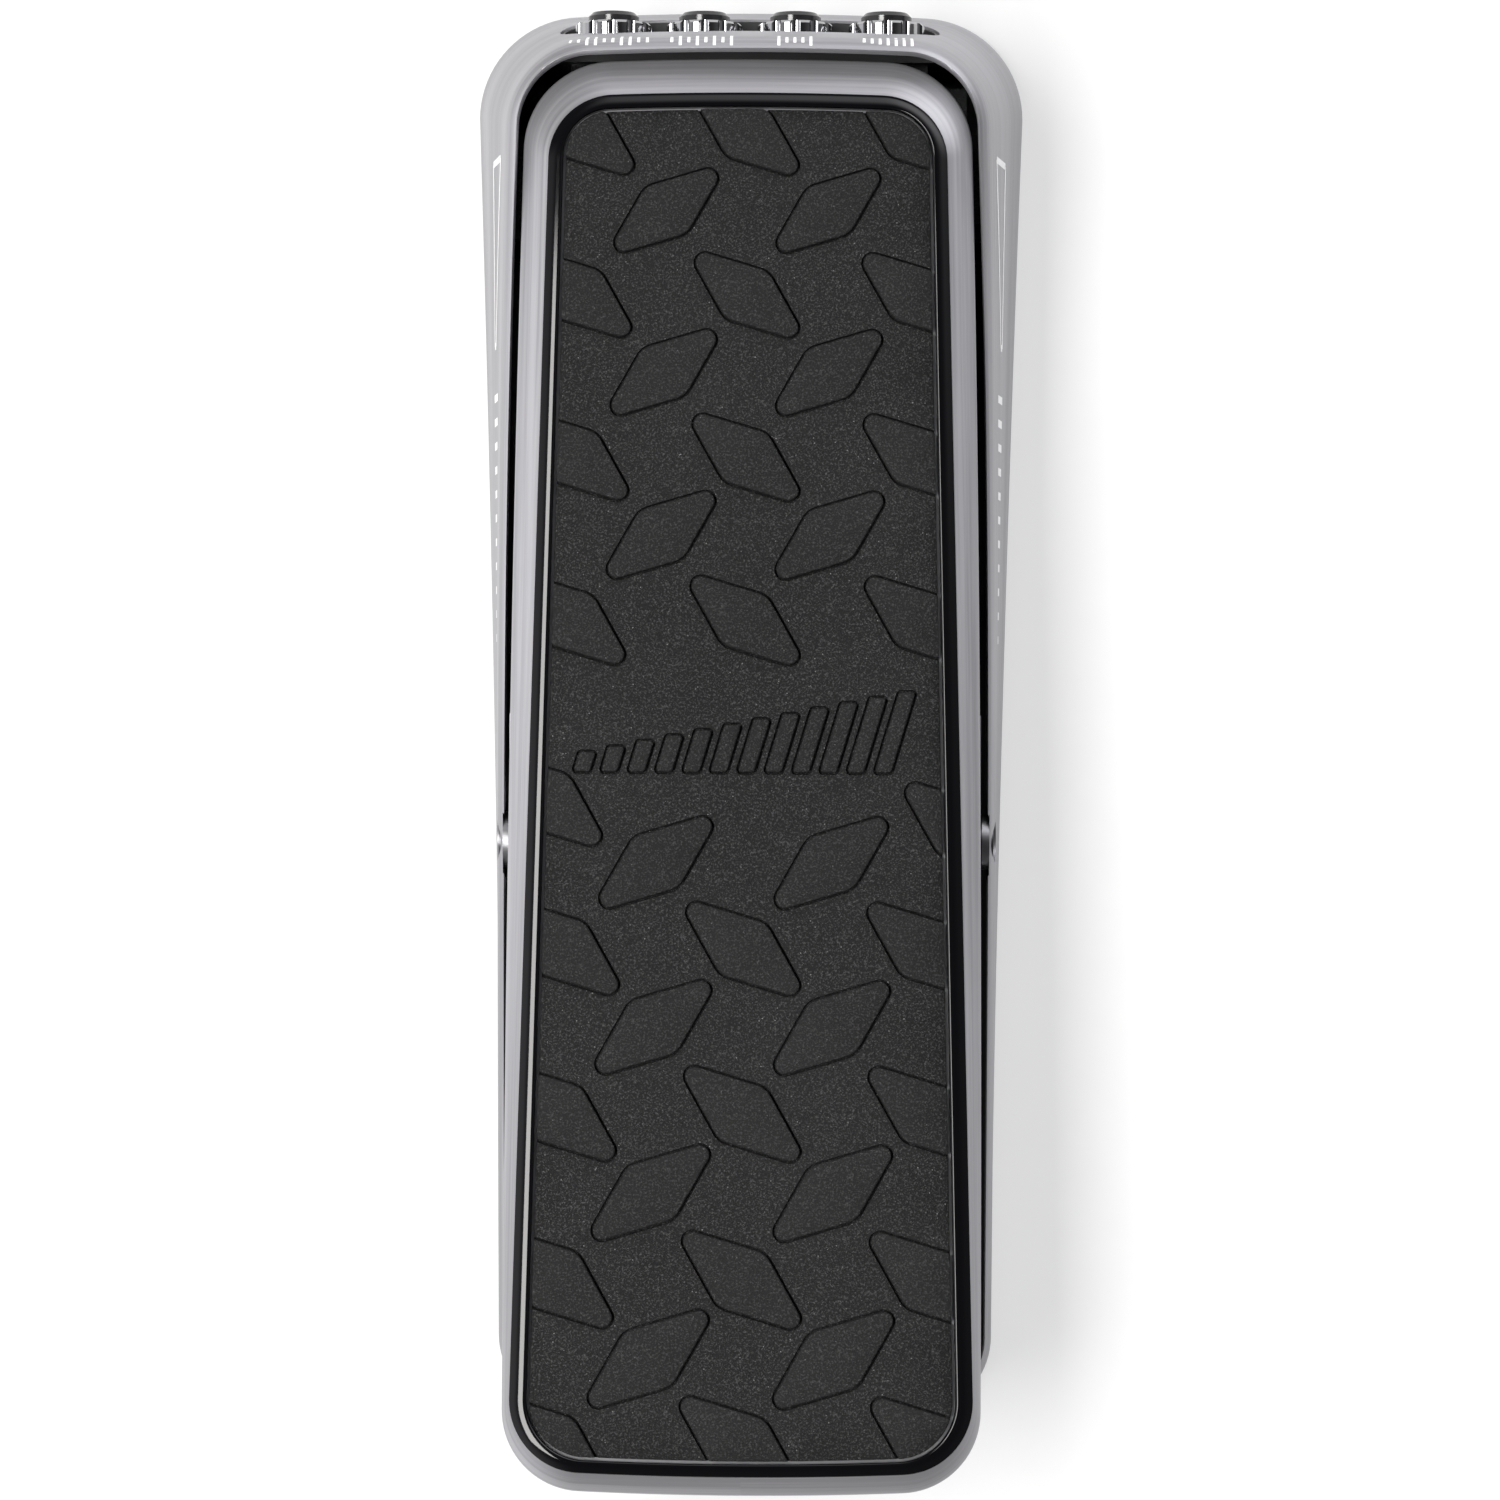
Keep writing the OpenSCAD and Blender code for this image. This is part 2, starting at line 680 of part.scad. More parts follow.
module tension_clamp() {
  color("#e6e2d6") difference() {
    union() {
      along_x(clamp_x[0], pivot_y, pivot_z) cylinder(r = 8, h = clamp_x[1] - clamp_x[0]);
      translate([clamp_x[0], tension_hole_at[1] - 5, pivot_z - 7])
        cube([clamp_x[1] - clamp_x[0], pivot_y - tension_hole_at[1] + 5, 14]);
      translate([clamp_x[0], pivot_y - 5, pivot_z])
        cube([clamp_x[1] - clamp_x[0], 10, 28]);
    }
    along_x(clamp_x[0] - 1, pivot_y, pivot_z) cylinder(r = shaft_r + 0.03, h = 14);
    translate([clamp_x[0] - 1, tension_hole_at[1] - 6, pivot_z - clamp_slit / 2])
      cube([14, pivot_y - tension_hole_at[1] + 6 - shaft_r + 1, clamp_slit]);
    translate([tension_hole_at[0], tension_hole_at[1], 0]) cylinder(r = tension_r + 0.05, h = 60);
    in_treadle() translate([-40, -treadle_l, plate_under]) cube([80, treadle_l, 30]);
    in_treadle() translate([-rib_x - rib_t / 2 - 0.2, -treadle_l, rib_low - 0.2])
      cube([rib_t + 0.4, treadle_l, 30]);
  }
}

module tension_screw() {
  color("#9b9ca0") translate([tension_hole_at[0], tension_hole_at[1], pivot_z - 7 - 4.3])
    cap_screw(tension_r, 16, 3.6, 4);
}

// ---------- bumpers ----------
module toe_bumpers() {
  color("#1c1c1d") for (side = [-1, 1])
    translate([side * 41.6, 104, ledge_top + bumper_h / 2]) cube([4.6, 14, bumper_h], center = true);
}

module heel_bumpers() {
  color("#1c1c1d") for (side = [-1, 1])
    translate([side * 24, -125.6, plate_top]) cylinder(r1 = 5.6, r2 = 5, h = 15.8);
}

chassis();
base_plate();
base_screws();
feet();
foot_screws();
jack_panel();
jack_1();
jack_2();
jack_3();
jack_4();
jack_washers();
jack_nuts();
circuit_board();
board_parts();
board_standoffs();
board_screws();
pot_bracket();
bracket_screws();
pot_body();
pot_nut();
pot_lugs();
pot_wires();
pivot_shaft();
pivot_washers();
toe_bumpers();
heel_bumpers();
treadle();
treadle_trim();
tread_mat();
pivot_bushings();
drive_arm();
arm_screws();
drive_band();
band_clamps();
band_screws();
tension_clamp();
pot_shaft();
drive_drum();
band_loop();
drum_screw();
tension_screw();
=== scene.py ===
"""Volume pedal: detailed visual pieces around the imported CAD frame. Metres, +Y toe, +Z up."""
import json
import math

import bmesh
import bpy
import numpy as np
from mathutils import Matrix, Vector
from mathutils.bvhtree import BVHTree
from mathutils.geometry import delaunay_2d_cdt


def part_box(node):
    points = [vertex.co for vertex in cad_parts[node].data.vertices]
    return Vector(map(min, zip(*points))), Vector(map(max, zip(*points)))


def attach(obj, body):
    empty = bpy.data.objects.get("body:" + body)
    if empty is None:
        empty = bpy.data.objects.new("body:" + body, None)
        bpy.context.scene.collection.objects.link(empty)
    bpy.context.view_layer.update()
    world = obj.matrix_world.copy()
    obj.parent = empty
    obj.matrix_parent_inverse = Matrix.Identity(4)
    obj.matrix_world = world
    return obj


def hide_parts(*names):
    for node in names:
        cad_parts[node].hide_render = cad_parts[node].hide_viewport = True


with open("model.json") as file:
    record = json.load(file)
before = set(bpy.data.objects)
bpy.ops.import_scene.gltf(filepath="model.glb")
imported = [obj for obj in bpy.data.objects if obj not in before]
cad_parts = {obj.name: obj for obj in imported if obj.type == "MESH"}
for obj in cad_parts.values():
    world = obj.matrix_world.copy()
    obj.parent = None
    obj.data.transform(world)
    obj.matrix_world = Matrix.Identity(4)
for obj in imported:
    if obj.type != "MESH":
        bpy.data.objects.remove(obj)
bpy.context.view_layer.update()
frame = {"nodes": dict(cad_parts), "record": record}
MM = 0.001

# ---------------------------------------------------------------- sizes, in millimetres
chassis_low, chassis_high = (Vector(c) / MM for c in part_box("chassis"))
TOE_Y = chassis_high.y
HEEL_Y = chassis_low.y
BASE_Z = chassis_low.z
BASE_HALF_TOE = chassis_high.x
BASE_HALF_HEEL = 48.3
RIM_TOE_Z, RIM_HEEL_Z = 52.0, 15.0
TOE_DRAFT, HEEL_DRAFT = 10.6, 0.8           # how far each end leans in from base to rim
SIDE_DRAFT_TOE, SIDE_DRAFT_HEEL = 7.5, 0.3  # the same for the sides
BASE_CORNER_TOE, BASE_CORNER_HEEL = 20, 17  # corner radii of the outline
RIM_CORNER_TOE, RIM_CORNER_HEEL = 17, 16
BASE_FLARE, RIM_FLARE = 1.6, 3              # how late the outline widens towards the toe
WALL = 3.0
RIM_WALL_TOE, RIM_WALL_HEEL = 2.6, 1.5      # the side walls thin towards the rim
RIM_HIGH = 4.6                  # height of the oval that rounds the rim
RIM_CREST = 0.92                # part of the wall's width outside its highest point
RIM_TURN = math.radians(62)     # how far the shoulder turns towards level
LIP_Z, LIP_REACH = 5.05, 1.4    # lip inside the wall that covers the edge of the base plate
LIP_EDGE, LIP_TOP = 1.4, 1.9    # height of the lip at its edge and at the wall
SHADE_DEPTH = 4.0                # the inside of the wall gets painted shade, near black, below this depth
RIM_EDGE = 0.5                  # drop of the small chamfer inside the highest point
BOW_R = 700.0                   # the ends bow outward with this radius
SCREWS = ((45, 96), (43.6, 18), (41.4, -104))   # screws of the base plate on one side, x and y
POST_R, POST_WEB, POST_Z = 3.8, 2.5, (5.0, 13.0)    # screw posts: radius, half web, heights
PILOT_R, PILOT_Z = 1.25, (3.9, 11.0)
LEDGE_X, LEDGE_Y, LEDGE_Z = 39, (94, 114), (29.9, 34.9)     # ledges that carry the toe bumpers
RECESS_R, RECESS_X = 7.5, (40.0, 46.6)      # room for the pivot washers
PIVOT = Vector((0, -20.8, 26.0))
SHAFT_R = 4.0
TREADLE_TOE = Vector((0, 127.3, 50.0))
TREADLE_L = 269.0
TREADLE_RISE = math.radians(3.85)
# Outlines on the treadle: gaps at the heel and the toe, then half widths, corner radii and flare
TREADLE_SHAPE = (0.0, 0.0, 44.4, 42.3, 15, 17, 2.5)
TRIM_SHAPE = (3.6, 7.1, 42.85, 37.5, 13.5, 12.5, 1.0)
MAT_SHAPE = (6.1, 9.8, 39.6, 34.6, 11, 9, 1.0)
SKIRT_TOE, SKIRT_HEEL, SKIRT_WALL = 12.0, 20.0, 2.6
SKIRT_FILLET = 2.0              # where the skirt meets the plate inside
PLATE_UNDER = -5.6
POCKET_FLOOR = -3.0
BEVEL_LOW, BEVEL_HIGH = -4.6, -1.2
HEEL_LEAN = 1.3
EDGE_R = 0.5                    # rounding of the lower edge of the treadle bevel
CROWN = 0.06                    # bulge of the bevel
EAR_IN, EAR_OUT = 38.3, 44.3    # pivot ears: faces, radius, spread and height of the flanks, bore
EAR_R, EAR_SPREAD, EAR_H, EAR_BORE_R = 8.5, 15.5, 25, 5.6
RIB_X, RIB_HALF, RIB_LOW = 15, 1.2, -9      # the two long ribs under the treadle
HEEL_RIB_HALF, HEEL_RIB_Y, HEEL_RIB_LOW = 42.5, (-251, -248), -18
JACK_PITCH = 17.5
JACK_X = [(i - 1.5) * JACK_PITCH for i in range(4)]
JACK_Z = 26.0
WINDOW_HALF_W, WINDOW_R = 36.5, 11.4
MAT_BASE, MAT_TOP = -1.3, -0.55
TRIM_TILT = (38.0, 3.0)         # slope of the moulding at its outer edge and at its crest
TRIM_W = 2.45                   # width of the slope
TRIM_NOSE = 0.16                # part of its width that rolls down towards the rubber


# ---------------------------------------------------------------- outlines
def lerp(a, b, t):
    return a + (b - a) * t


def end_quarter(w, end_y, r, way, corner_steps, bow_steps):
    """From the side (x = w) round a corner to the middle line of one end."""
    lift = math.sqrt((BOW_R - r) ** 2 - (w - r) ** 2)
    corner_y = lift - BOW_R
    stop = math.atan2(lift, w - r)
    points = []
    for i in range(corner_steps + 1):
        a = stop * i / corner_steps
        points.append((w - r + r * math.cos(a), end_y + way * (corner_y + r * math.sin(a))))
    for i in range(1, bow_steps + 1):
        a = lerp(stop, math.pi / 2, i / bow_steps)
        points.append((BOW_R * math.cos(a), end_y + way * (BOW_R * math.sin(a) - BOW_R)))
    return points


def outline(y0, y1, w0, w1, r0, r1, power=1.0, corner_steps=20, bow_steps=14, side_steps=44):
    """Closed outline, counter-clockwise, that widens from w0 at the heel to w1 at the toe."""
    toe = end_quarter(w1, y1, r1, 1, corner_steps, bow_steps)
    heel = end_quarter(w0, y0, r0, -1, corner_steps, bow_steps)
    low, high = heel[0][1], toe[0][1]
    side = []
    for i in range(1, side_steps):
        u = i / side_steps
        side.append((w0 + (w1 - w0) * u ** power, lerp(low, high, u)))
    right = heel[::-1] + side + toe
    left = [(-x, y) for x, y in right[::-1]]
    return np.array(right + left[1:-1])


def rim_z(y):
    slope = (RIM_TOE_Z - RIM_HEEL_Z) / (TOE_Y - TOE_DRAFT - HEEL_Y)
    return RIM_TOE_Z - slope * (TOE_Y - TOE_DRAFT - y)


def chassis_outline(t, inset):
    """Outer face of the chassis, from t = 0 at the base to t = 1 at the rim, moved inward."""
    return outline(HEEL_Y + HEEL_DRAFT * t + inset, TOE_Y - TOE_DRAFT * t - inset,
                   BASE_HALF_HEEL - SIDE_DRAFT_HEEL * t - inset,
                   BASE_HALF_TOE - SIDE_DRAFT_TOE * t - inset,
                   lerp(BASE_CORNER_HEEL, RIM_CORNER_HEEL, t) - inset,
                   lerp(BASE_CORNER_TOE, RIM_CORNER_TOE, t) - inset,
                   lerp(BASE_FLARE, RIM_FLARE, t))


def rim_inner():
    """Inner outline of the wall at the rim; the ends keep the full thickness."""
    return outline(HEEL_Y + HEEL_DRAFT + WALL, TOE_Y - TOE_DRAFT - WALL,
                   BASE_HALF_HEEL - SIDE_DRAFT_HEEL - RIM_WALL_HEEL,
                   BASE_HALF_TOE - SIDE_DRAFT_TOE - RIM_WALL_TOE,
                   RIM_CORNER_HEEL - WALL, RIM_CORNER_TOE - WALL, RIM_FLARE)


def outline_on_treadle(shape, inset, lean=0.0):
    """One of the three outlines in the treadle's own frame, whose origin is its toe."""
    heel_gap, toe_gap, half_heel, half_toe, r_heel, r_toe, flare = shape
    return outline(-TREADLE_L + heel_gap + lean + inset, -toe_gap - inset,
                   half_heel - inset, half_toe - inset, r_heel - inset, r_toe - inset, flare)


def treadle_outline(inset, lean=0.0):
    return outline_on_treadle(TREADLE_SHAPE, inset, lean)


def trim_outline(inset):
    return outline_on_treadle(TRIM_SHAPE, inset)


def mat_outline(inset):
    return outline_on_treadle(MAT_SHAPE, inset)


def ring(points, z):
    """Outline points with a height, which may be a number or one number for each point."""
    return np.column_stack([points, np.broadcast_to(z, len(points))])


# ---------------------------------------------------------------- mesh helpers
IN_TREADLE = Matrix.Translation(TREADLE_TOE) @ Matrix.Rotation(-TREADLE_RISE, 4, "X")
SHARP = math.radians(32)


def new_object(name, mesh, matrix=Matrix.Identity(4)):
    """Object with its mesh scaled from millimetres to metres, after matrix is applied."""
    mesh.transform(Matrix.Scale(MM, 4) @ matrix)
    obj = bpy.data.objects.new(name, mesh)
    bpy.context.scene.collection.objects.link(obj)
    return obj


def shade(obj, angle=SHARP):
    """Smooth faces, with a sharp edge wherever two faces meet at more than angle."""
    bm = bmesh.new()
    bm.from_mesh(obj.data)
    for face in bm.faces:
        face.smooth = True
    for edge in bm.edges:
        edge.smooth = len(edge.link_faces) == 2 and edge.calc_face_angle(0) < angle
    bm.to_mesh(obj.data)
    bm.free()
    return obj


def loft_mesh(name, rings, closed=False, caps=(True, True)):
    """Quads between rings of equal length. UV: u runs round the outline, v across it, in mm."""
    n, count = len(rings[0]), len(rings)
    points = np.concatenate(rings)
    faces, uvs = [], []
    step = np.linalg.norm(np.diff(np.vstack([rings[0], rings[0][:1]])[:, :2], axis=0), axis=1)
    along = np.concatenate([[0], np.cumsum(step)])
    across = [0.0]
    for k in range(1, count + 1):
        gap = rings[k % count] - rings[k - 1]
        across.append(across[-1] + float(np.median(np.linalg.norm(gap, axis=1))))
    for k in range(count if closed else count - 1):
        a, b = k * n, ((k + 1) % count) * n
        for i in range(n):
            j = (i + 1) % n
            faces.append((a + i, a + j, b + j, b + i))
            uvs += [(along[i], across[k]), (along[i + 1], across[k]),
                    (along[i + 1], across[k + 1]), (along[i], across[k + 1])]
    ends = ((caps[0], 0, True), (caps[1], (count - 1) * n, False))
    for wanted, start, flip in ends:
        if wanted and not closed:
            cap = [start + i for i in range(n)]
            faces.append(cap[::-1] if flip else cap)
            uvs += [(0.0, 0.0)] * n
    mesh = bpy.data.meshes.new(name)
    mesh.from_pydata(points.tolist(), [], faces)
    layer = mesh.uv_layers.new(name="UVMap")
    layer.data.foreach_set("uv", np.array(uvs, np.float32).ravel() * MM)
    return mesh


def fix_normals(obj):
    bm = bmesh.new()
    bm.from_mesh(obj.data)
    bmesh.ops.recalc_face_normals(bm, faces=bm.faces)
    bm.to_mesh(obj.data)
    bm.free()


def boolean(obj, tool, operation):
    """Applies an exact boolean and removes the tool."""
    mod = obj.modifiers.new("cut", "BOOLEAN")
    mod.operation, mod.solver, mod.object = operation, "EXACT", tool
    dg = bpy.context.evaluated_depsgraph_get()
    mesh = bpy.data.meshes.new_from_object(obj.evaluated_get(dg))
    obj.modifiers.clear()
    obj.data = mesh
    bpy.data.objects.remove(tool)
    return obj


def prism(name, points, low, high, axis="Z", matrix=Matrix.Identity(4)):
    """Closed solid: a flat outline pushed from low to high along an axis.
    For X the outline holds (y, z); for Y it holds (x, z); for Z it holds (x, y)."""
    order = {"X": (2, 0, 1), "Y": (0, 2, 1), "Z": (0, 1, 2)}[axis]
    flat = np.array(points, float)
    rings = []
    for level in (low, high):
        data = np.column_stack([flat, np.full(len(flat), level)])
        rings.append(data[:, order])
    mesh = loft_mesh(name, rings)
    obj = new_object(name, mesh, matrix)
    fix_normals(obj)
    return obj


def circle_points(u, v, r, steps=64):
    return [(u + r * math.cos(a), v + r * math.sin(a))
            for a in np.linspace(0, 2 * math.pi, steps, endpoint=False)]


def rectangle(x0, x1, y0, y1):
    return [(x0, y0), (x1, y0), (x1, y1), (x0, y1)]


def rounded_box(half_w, half_h, r, steps=16):
    """Rounded rectangle about the origin."""
    points = []
    for k, (sx, sy) in enumerate(((1, 1), (-1, 1), (-1, -1), (1, -1))):
        for i in range(steps + 1):
            a = math.radians(90) * (k + i / steps)
            points.append((sx * (half_w - r) + r * math.cos(a),
                           sy * (half_h - r) + r * math.sin(a)))
    return points


def bevel(obj, width, segments=3, angle=35, weight=False):
    mod = obj.modifiers.new("edges", "BEVEL")
    mod.width, mod.segments = width * MM, segments
    mod.limit_method = "WEIGHT" if weight else "ANGLE"
    mod.angle_limit = math.radians(angle)
    return mod


def weigh_edges(obj, wanted):
    """Gives a bevel weight to sharp edges whose middle point passes the test."""
    bm = bmesh.new()
    bm.from_mesh(obj.data)
    layer = bm.edges.layers.float.new("bevel_weight_edge")
    for edge in bm.edges:
        middle = (edge.verts[0].co + edge.verts[1].co) / 2 / MM
        if len(edge.link_faces) == 2 and edge.calc_face_angle(0) > SHARP and wanted(middle):
            edge[layer] = 1.0
    bm.to_mesh(obj.data)
    bm.free()


# ---------------------------------------------------------------- materials
class Graph:
    """Short way to write a node tree."""

    def __init__(self, name):
        self.material = bpy.data.materials.new(name)
        self.material.use_nodes = True
        self.tree = self.material.node_tree
        self.shader = self.tree.nodes["Principled BSDF"]

    def add(self, kind, inputs=None, **props):
        node = self.tree.nodes.new("ShaderNode" + kind)
        for key, value in props.items():
            setattr(node, key, value)
        for key, value in (inputs or {}).items():
            self.put(node.inputs[key], value)
        return node

    def put(self, socket, value):
        if isinstance(value, bpy.types.NodeSocket):
            self.tree.links.new(value, socket)
        else:
            socket.default_value = value

    def set(self, **values):
        for key, value in values.items():
            self.put(self.shader.inputs[key.replace("_", " ")], value)

    def coords(self, kind="Object", scale=(1, 1, 1)):
        out = self.add("TexCoord").outputs[kind]
        return self.add("Mapping", {"Vector": out, "Scale": scale}).outputs[0]

    def noise(self, vector, scale, detail=4.0, rough=0.6):
        node = self.add("TexNoise", {"Vector": vector, "Scale": scale, "Detail": detail,
                                     "Roughness": rough})
        return node.outputs["Fac"]

    def ramp(self, value, low, high, out_low=0.0, out_high=1.0):
        node = self.add("MapRange", {"Value": value, "From Min": low, "From Max": high,
                                     "To Min": out_low, "To Max": out_high})
        return node.outputs[0]

    def mix(self, factor, a, b):
        node = self.add("Mix", data_type="RGBA")
        self.put(node.inputs[0], factor)
        self.put(node.inputs[6], a)
        self.put(node.inputs[7], b)
        return node.outputs[2]

    def math(self, operation, a, b=0.0):
        node = self.add("Math", operation=operation)
        self.put(node.inputs[0], a)
        self.put(node.inputs[1], b)
        return node.outputs[0]

    def bump(self, height, strength, distance):
        node = self.add("Bump", {"Height": height, "Strength": strength, "Distance": distance})
        self.put(self.shader.inputs["Normal"], node.outputs[0])
        return node


def colour(r, g, b):
    return (r, g, b, 1.0)


def brushed_casting():
    """Satin grey anodised aluminium, brushed along the outline, with soft cloudy variation."""
    g = Graph("brushed_casting")
    lines = g.noise(g.coords("UV", (9, 1100, 1)), 1.0, 6.0, 0.7)
    wide = g.noise(g.coords("UV", (5, 190, 1)), 1.0, 3.0, 0.5)
    cloud = g.noise(g.coords("Object"), 14.0, 3.0)
    tone = g.math("ADD", g.math("MULTIPLY", lines, 0.5), g.math("MULTIPLY", wide, 0.5))
    base = g.mix(g.ramp(tone, 0.42, 0.58), colour(0.27, 0.268, 0.283),
                 colour(0.40, 0.397, 0.416))
    tangent = g.add("Tangent", direction_type="UV_MAP").outputs[0]
    g.set(Base_Color=g.mix(g.ramp(cloud, 0.3, 0.7, 0, 0.35), base, colour(0.28, 0.277, 0.292)),
          Metallic=0.72, Anisotropic=0.5, Anisotropic_Rotation=0.25, Tangent=tangent,
          Roughness=g.ramp(tone, 0.3, 0.7, 0.34, 0.50))
    g.bump(tone, 0.25, 0.0001)
    return g.material


def gloss_black():
    """High-gloss black moulding with faint swirl marks and dust."""
    g = Graph("gloss_black")
    swirl = g.noise(g.coords("Object", (60, 12, 60)), 4.0, 8.0, 0.7)
    dust = g.noise(g.coords("Object"), 2600.0, 2.0)
    g.set(Base_Color=g.mix(g.ramp(dust, 0.72, 0.8), colour(0.002, 0.002, 0.0025),
                           colour(0.012, 0.012, 0.012)),
          Roughness=g.ramp(swirl, 0.35, 0.75, 0.05, 0.10))
    g.shader.inputs["Specular IOR Level"].default_value = 0.28
    return g.material


def rubber(name, speckle, tone):
    """Moulded rubber: fine grain, and pale dust specks where speckle is high."""
    g = Graph(name)
    place = g.coords("Object")
    grain = g.noise(place, 2700.0, 2.0, 0.7)
    fine = g.noise(place, 5200.0, 2.0, 0.6)
    patch = g.noise(place, 26.0, 4.0, 0.6)
    specks = g.add("TexVoronoi", {"Vector": place, "Scale": 900.0})
    dot = g.math("LESS_THAN", specks.outputs["Distance"], 0.10)
    chance = g.ramp(g.noise(place, 420.0, 1.0), 0.5, 0.64)
    body = g.mix(g.ramp(patch, 0.3, 0.7), colour(*(tone * 0.65,) * 3), colour(*(tone * 1.1,) * 3))
    body = g.mix(g.ramp(grain, 0.5, 0.68, 0, 0.4 + 0.6 * speckle), body,
                 colour(*(tone * 7.5,) * 3))
    body = g.mix(g.ramp(fine, 0.38, 0.52, 0.5 + 0.3 * speckle, 0), body,
                 colour(*(tone * 0.2,) * 3))
    spots = g.math("MULTIPLY", g.math("MULTIPLY", dot, chance), speckle)
    g.set(Base_Color=g.mix(spots, body, colour(0.16, 0.16, 0.16)),
          Roughness=g.ramp(grain, 0.3, 0.7, 0.62, 0.82))
    g.shader.inputs["Specular IOR Level"].default_value = 0.18
    g.bump(g.math("ADD", g.math("MULTIPLY", grain, 0.7), g.math("MULTIPLY", fine, 0.3)),
           0.5 + 0.4 * speckle, 0.0004)
    return g.material


def plastic(name, base, low=0.35, high=0.5, grain=900.0):
    """Moulded plastic with a fine texture."""
    g = Graph(name)
    n = g.noise(g.coords("Object"), grain, 4.0)
    patch = g.noise(g.coords("Object"), 60.0, 3.0)
    g.set(Base_Color=g.mix(g.ramp(patch, 0.3, 0.7), colour(*(c * 0.85 for c in base)),
                           colour(*(min(1, c * 1.15) for c in base))),
          Roughness=g.ramp(n, 0.3, 0.7, low, high))
    g.bump(n, 0.15, 0.00008)
    return g.material


def metal(name, base, low, high, scale=(40, 400, 400)):
    """Bare or plated metal with machining lines and small tone changes."""
    g = Graph(name)
    lines = g.noise(g.coords("Object", scale), 3.0, 5.0, 0.65)
    patch = g.noise(g.coords("Object"), 90.0, 3.0)
    g.set(Base_Color=g.mix(g.ramp(patch, 0.3, 0.7), colour(*(c * 0.9 for c in base)),
                           colour(*base)),
          Metallic=1.0, Roughness=g.ramp(lines, 0.3, 0.7, low, high))
    g.bump(lines, 0.05, 0.00005)
    return g.material


def solder_mask():
    """Circuit board: green mask with paler copper tracks under it, kept near black as painted shade for
    the inside of the pedal.
    """
    g = Graph("solder_mask")
    bricks = g.add("TexBrick", {"Vector": g.coords("Object"), "Scale": 90.0, "Mortar Size": 0.035,
                                "Color1": colour(0.001, 0.008, 0.004),
                                "Color2": colour(0.0012, 0.01, 0.005),
                                "Mortar": colour(0.002, 0.016, 0.008)})
    n = g.noise(g.coords("Object"), 400.0, 3.0)
    g.set(Base_Color=bricks.outputs["Color"], Roughness=g.ramp(n, 0.3, 0.7, 0.22, 0.36))
    g.bump(bricks.outputs["Fac"], 0.3, 0.00006)
    return g.material


def floor_material():
    """Pale paper that also glows, so that it reads white under the dark sky."""
    g = Graph("floor_paper")
    n = g.noise(g.coords("Object"), 120.0, 4.0)
    g.set(Base_Color=g.mix(g.ramp(n, 0.3, 0.7), colour(0.33, 0.33, 0.332),
                           colour(0.34, 0.34, 0.34)),
          Roughness=0.75)
    g.shader.inputs["Specular IOR Level"].default_value = 0.2
    g.set(Emission_Color=colour(1.0, 1.0, 1.0), Emission_Strength=0.54)
    return g.material


def white_print():
    """Screen-printed white ink with small thin spots."""
    g = Graph("white_print")
    n = g.noise(g.coords("Object"), 1500.0, 3.0)
    g.set(Base_Color=g.mix(g.ramp(n, 0.55, 0.8), colour(0.85, 0.85, 0.85), colour(0.6, 0.6, 0.62)),
          Roughness=g.ramp(n, 0.3, 0.7, 0.4, 0.6))
    return g.material


MATERIALS = {
    "cast_grey": brushed_casting(),
    "black_steel": plastic("black_steel", (0.02, 0.02, 0.022), 0.4, 0.55, 700.0),
    "black_screw": metal("black_oxide", (0.05, 0.05, 0.055), 0.3, 0.45),
    "foot_rubber": rubber("foot_rubber", 0.15, 0.015),
    "panel_black": plastic("panel_black", (0.008, 0.008, 0.009), 0.35, 0.5),
    "jack_black": plastic("jack_black", (0.012, 0.012, 0.013), 0.12, 0.22, 500.0),
    "chrome": metal("chrome", (0.42, 0.42, 0.43), 0.05, 0.12, (20, 20, 20)),
    "board_green": solder_mask(),
    "component_black": plastic("component_black", (0.02, 0.02, 0.022), 0.4, 0.55),
    "brass": metal("brass", (0.75, 0.55, 0.25), 0.2, 0.34),
    "zinc": metal("zinc", (0.3, 0.3, 0.31), 0.3, 0.42),
    "wire_red": plastic("wire_red", (0.42, 0.03, 0.02), 0.3, 0.4),
    # steel and nylon are toned dark so that the pivot openings read dark: painted shade on top of their
    # own colour
    "steel": metal("steel", (0.2, 0.2, 0.21), 0.3, 0.42),
    "nylon": plastic("nylon", (0.1, 0.096, 0.085), 0.35, 0.5, 600.0),
    "trim_gloss": gloss_black(),
    "tread_rubber": rubber("tread_rubber", 1.0, 0.0076),
    "arm_black": plastic("arm_black", (0.02, 0.02, 0.021), 0.4, 0.55),
    "band_steel": metal("band_steel", (0.7, 0.7, 0.72), 0.12, 0.22, (30, 300, 300)),
}
BLOCK_RUBBER = rubber("block_rubber", 0.45, 0.008)
PRINT = white_print()
# near-black material for the inside of the casting: painted shade
INNER_SHADE = plastic("inner_painted_shade", (0.006, 0.006, 0.0065), 0.55, 0.7, 500.0)


def finish_piece(obj, body, slot, *replaced):
    """Material, body, record slot and the CAD nodes that the piece stands for."""
    if not obj.data.materials:
        obj.data.materials.append(MATERIALS[slot])
    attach(obj, body)
    if replaced:
        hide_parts(*replaced)
    return obj


# ---------------------------------------------------------------- chassis
def chassis_side(t, y):
    """Half width of the chassis outline t at y, read off the outline itself."""
    points = chassis_outline(t, 0)
    right = points[: len(points) // 2]
    return float(np.interp(y, right[:, 1], right[:, 0]))


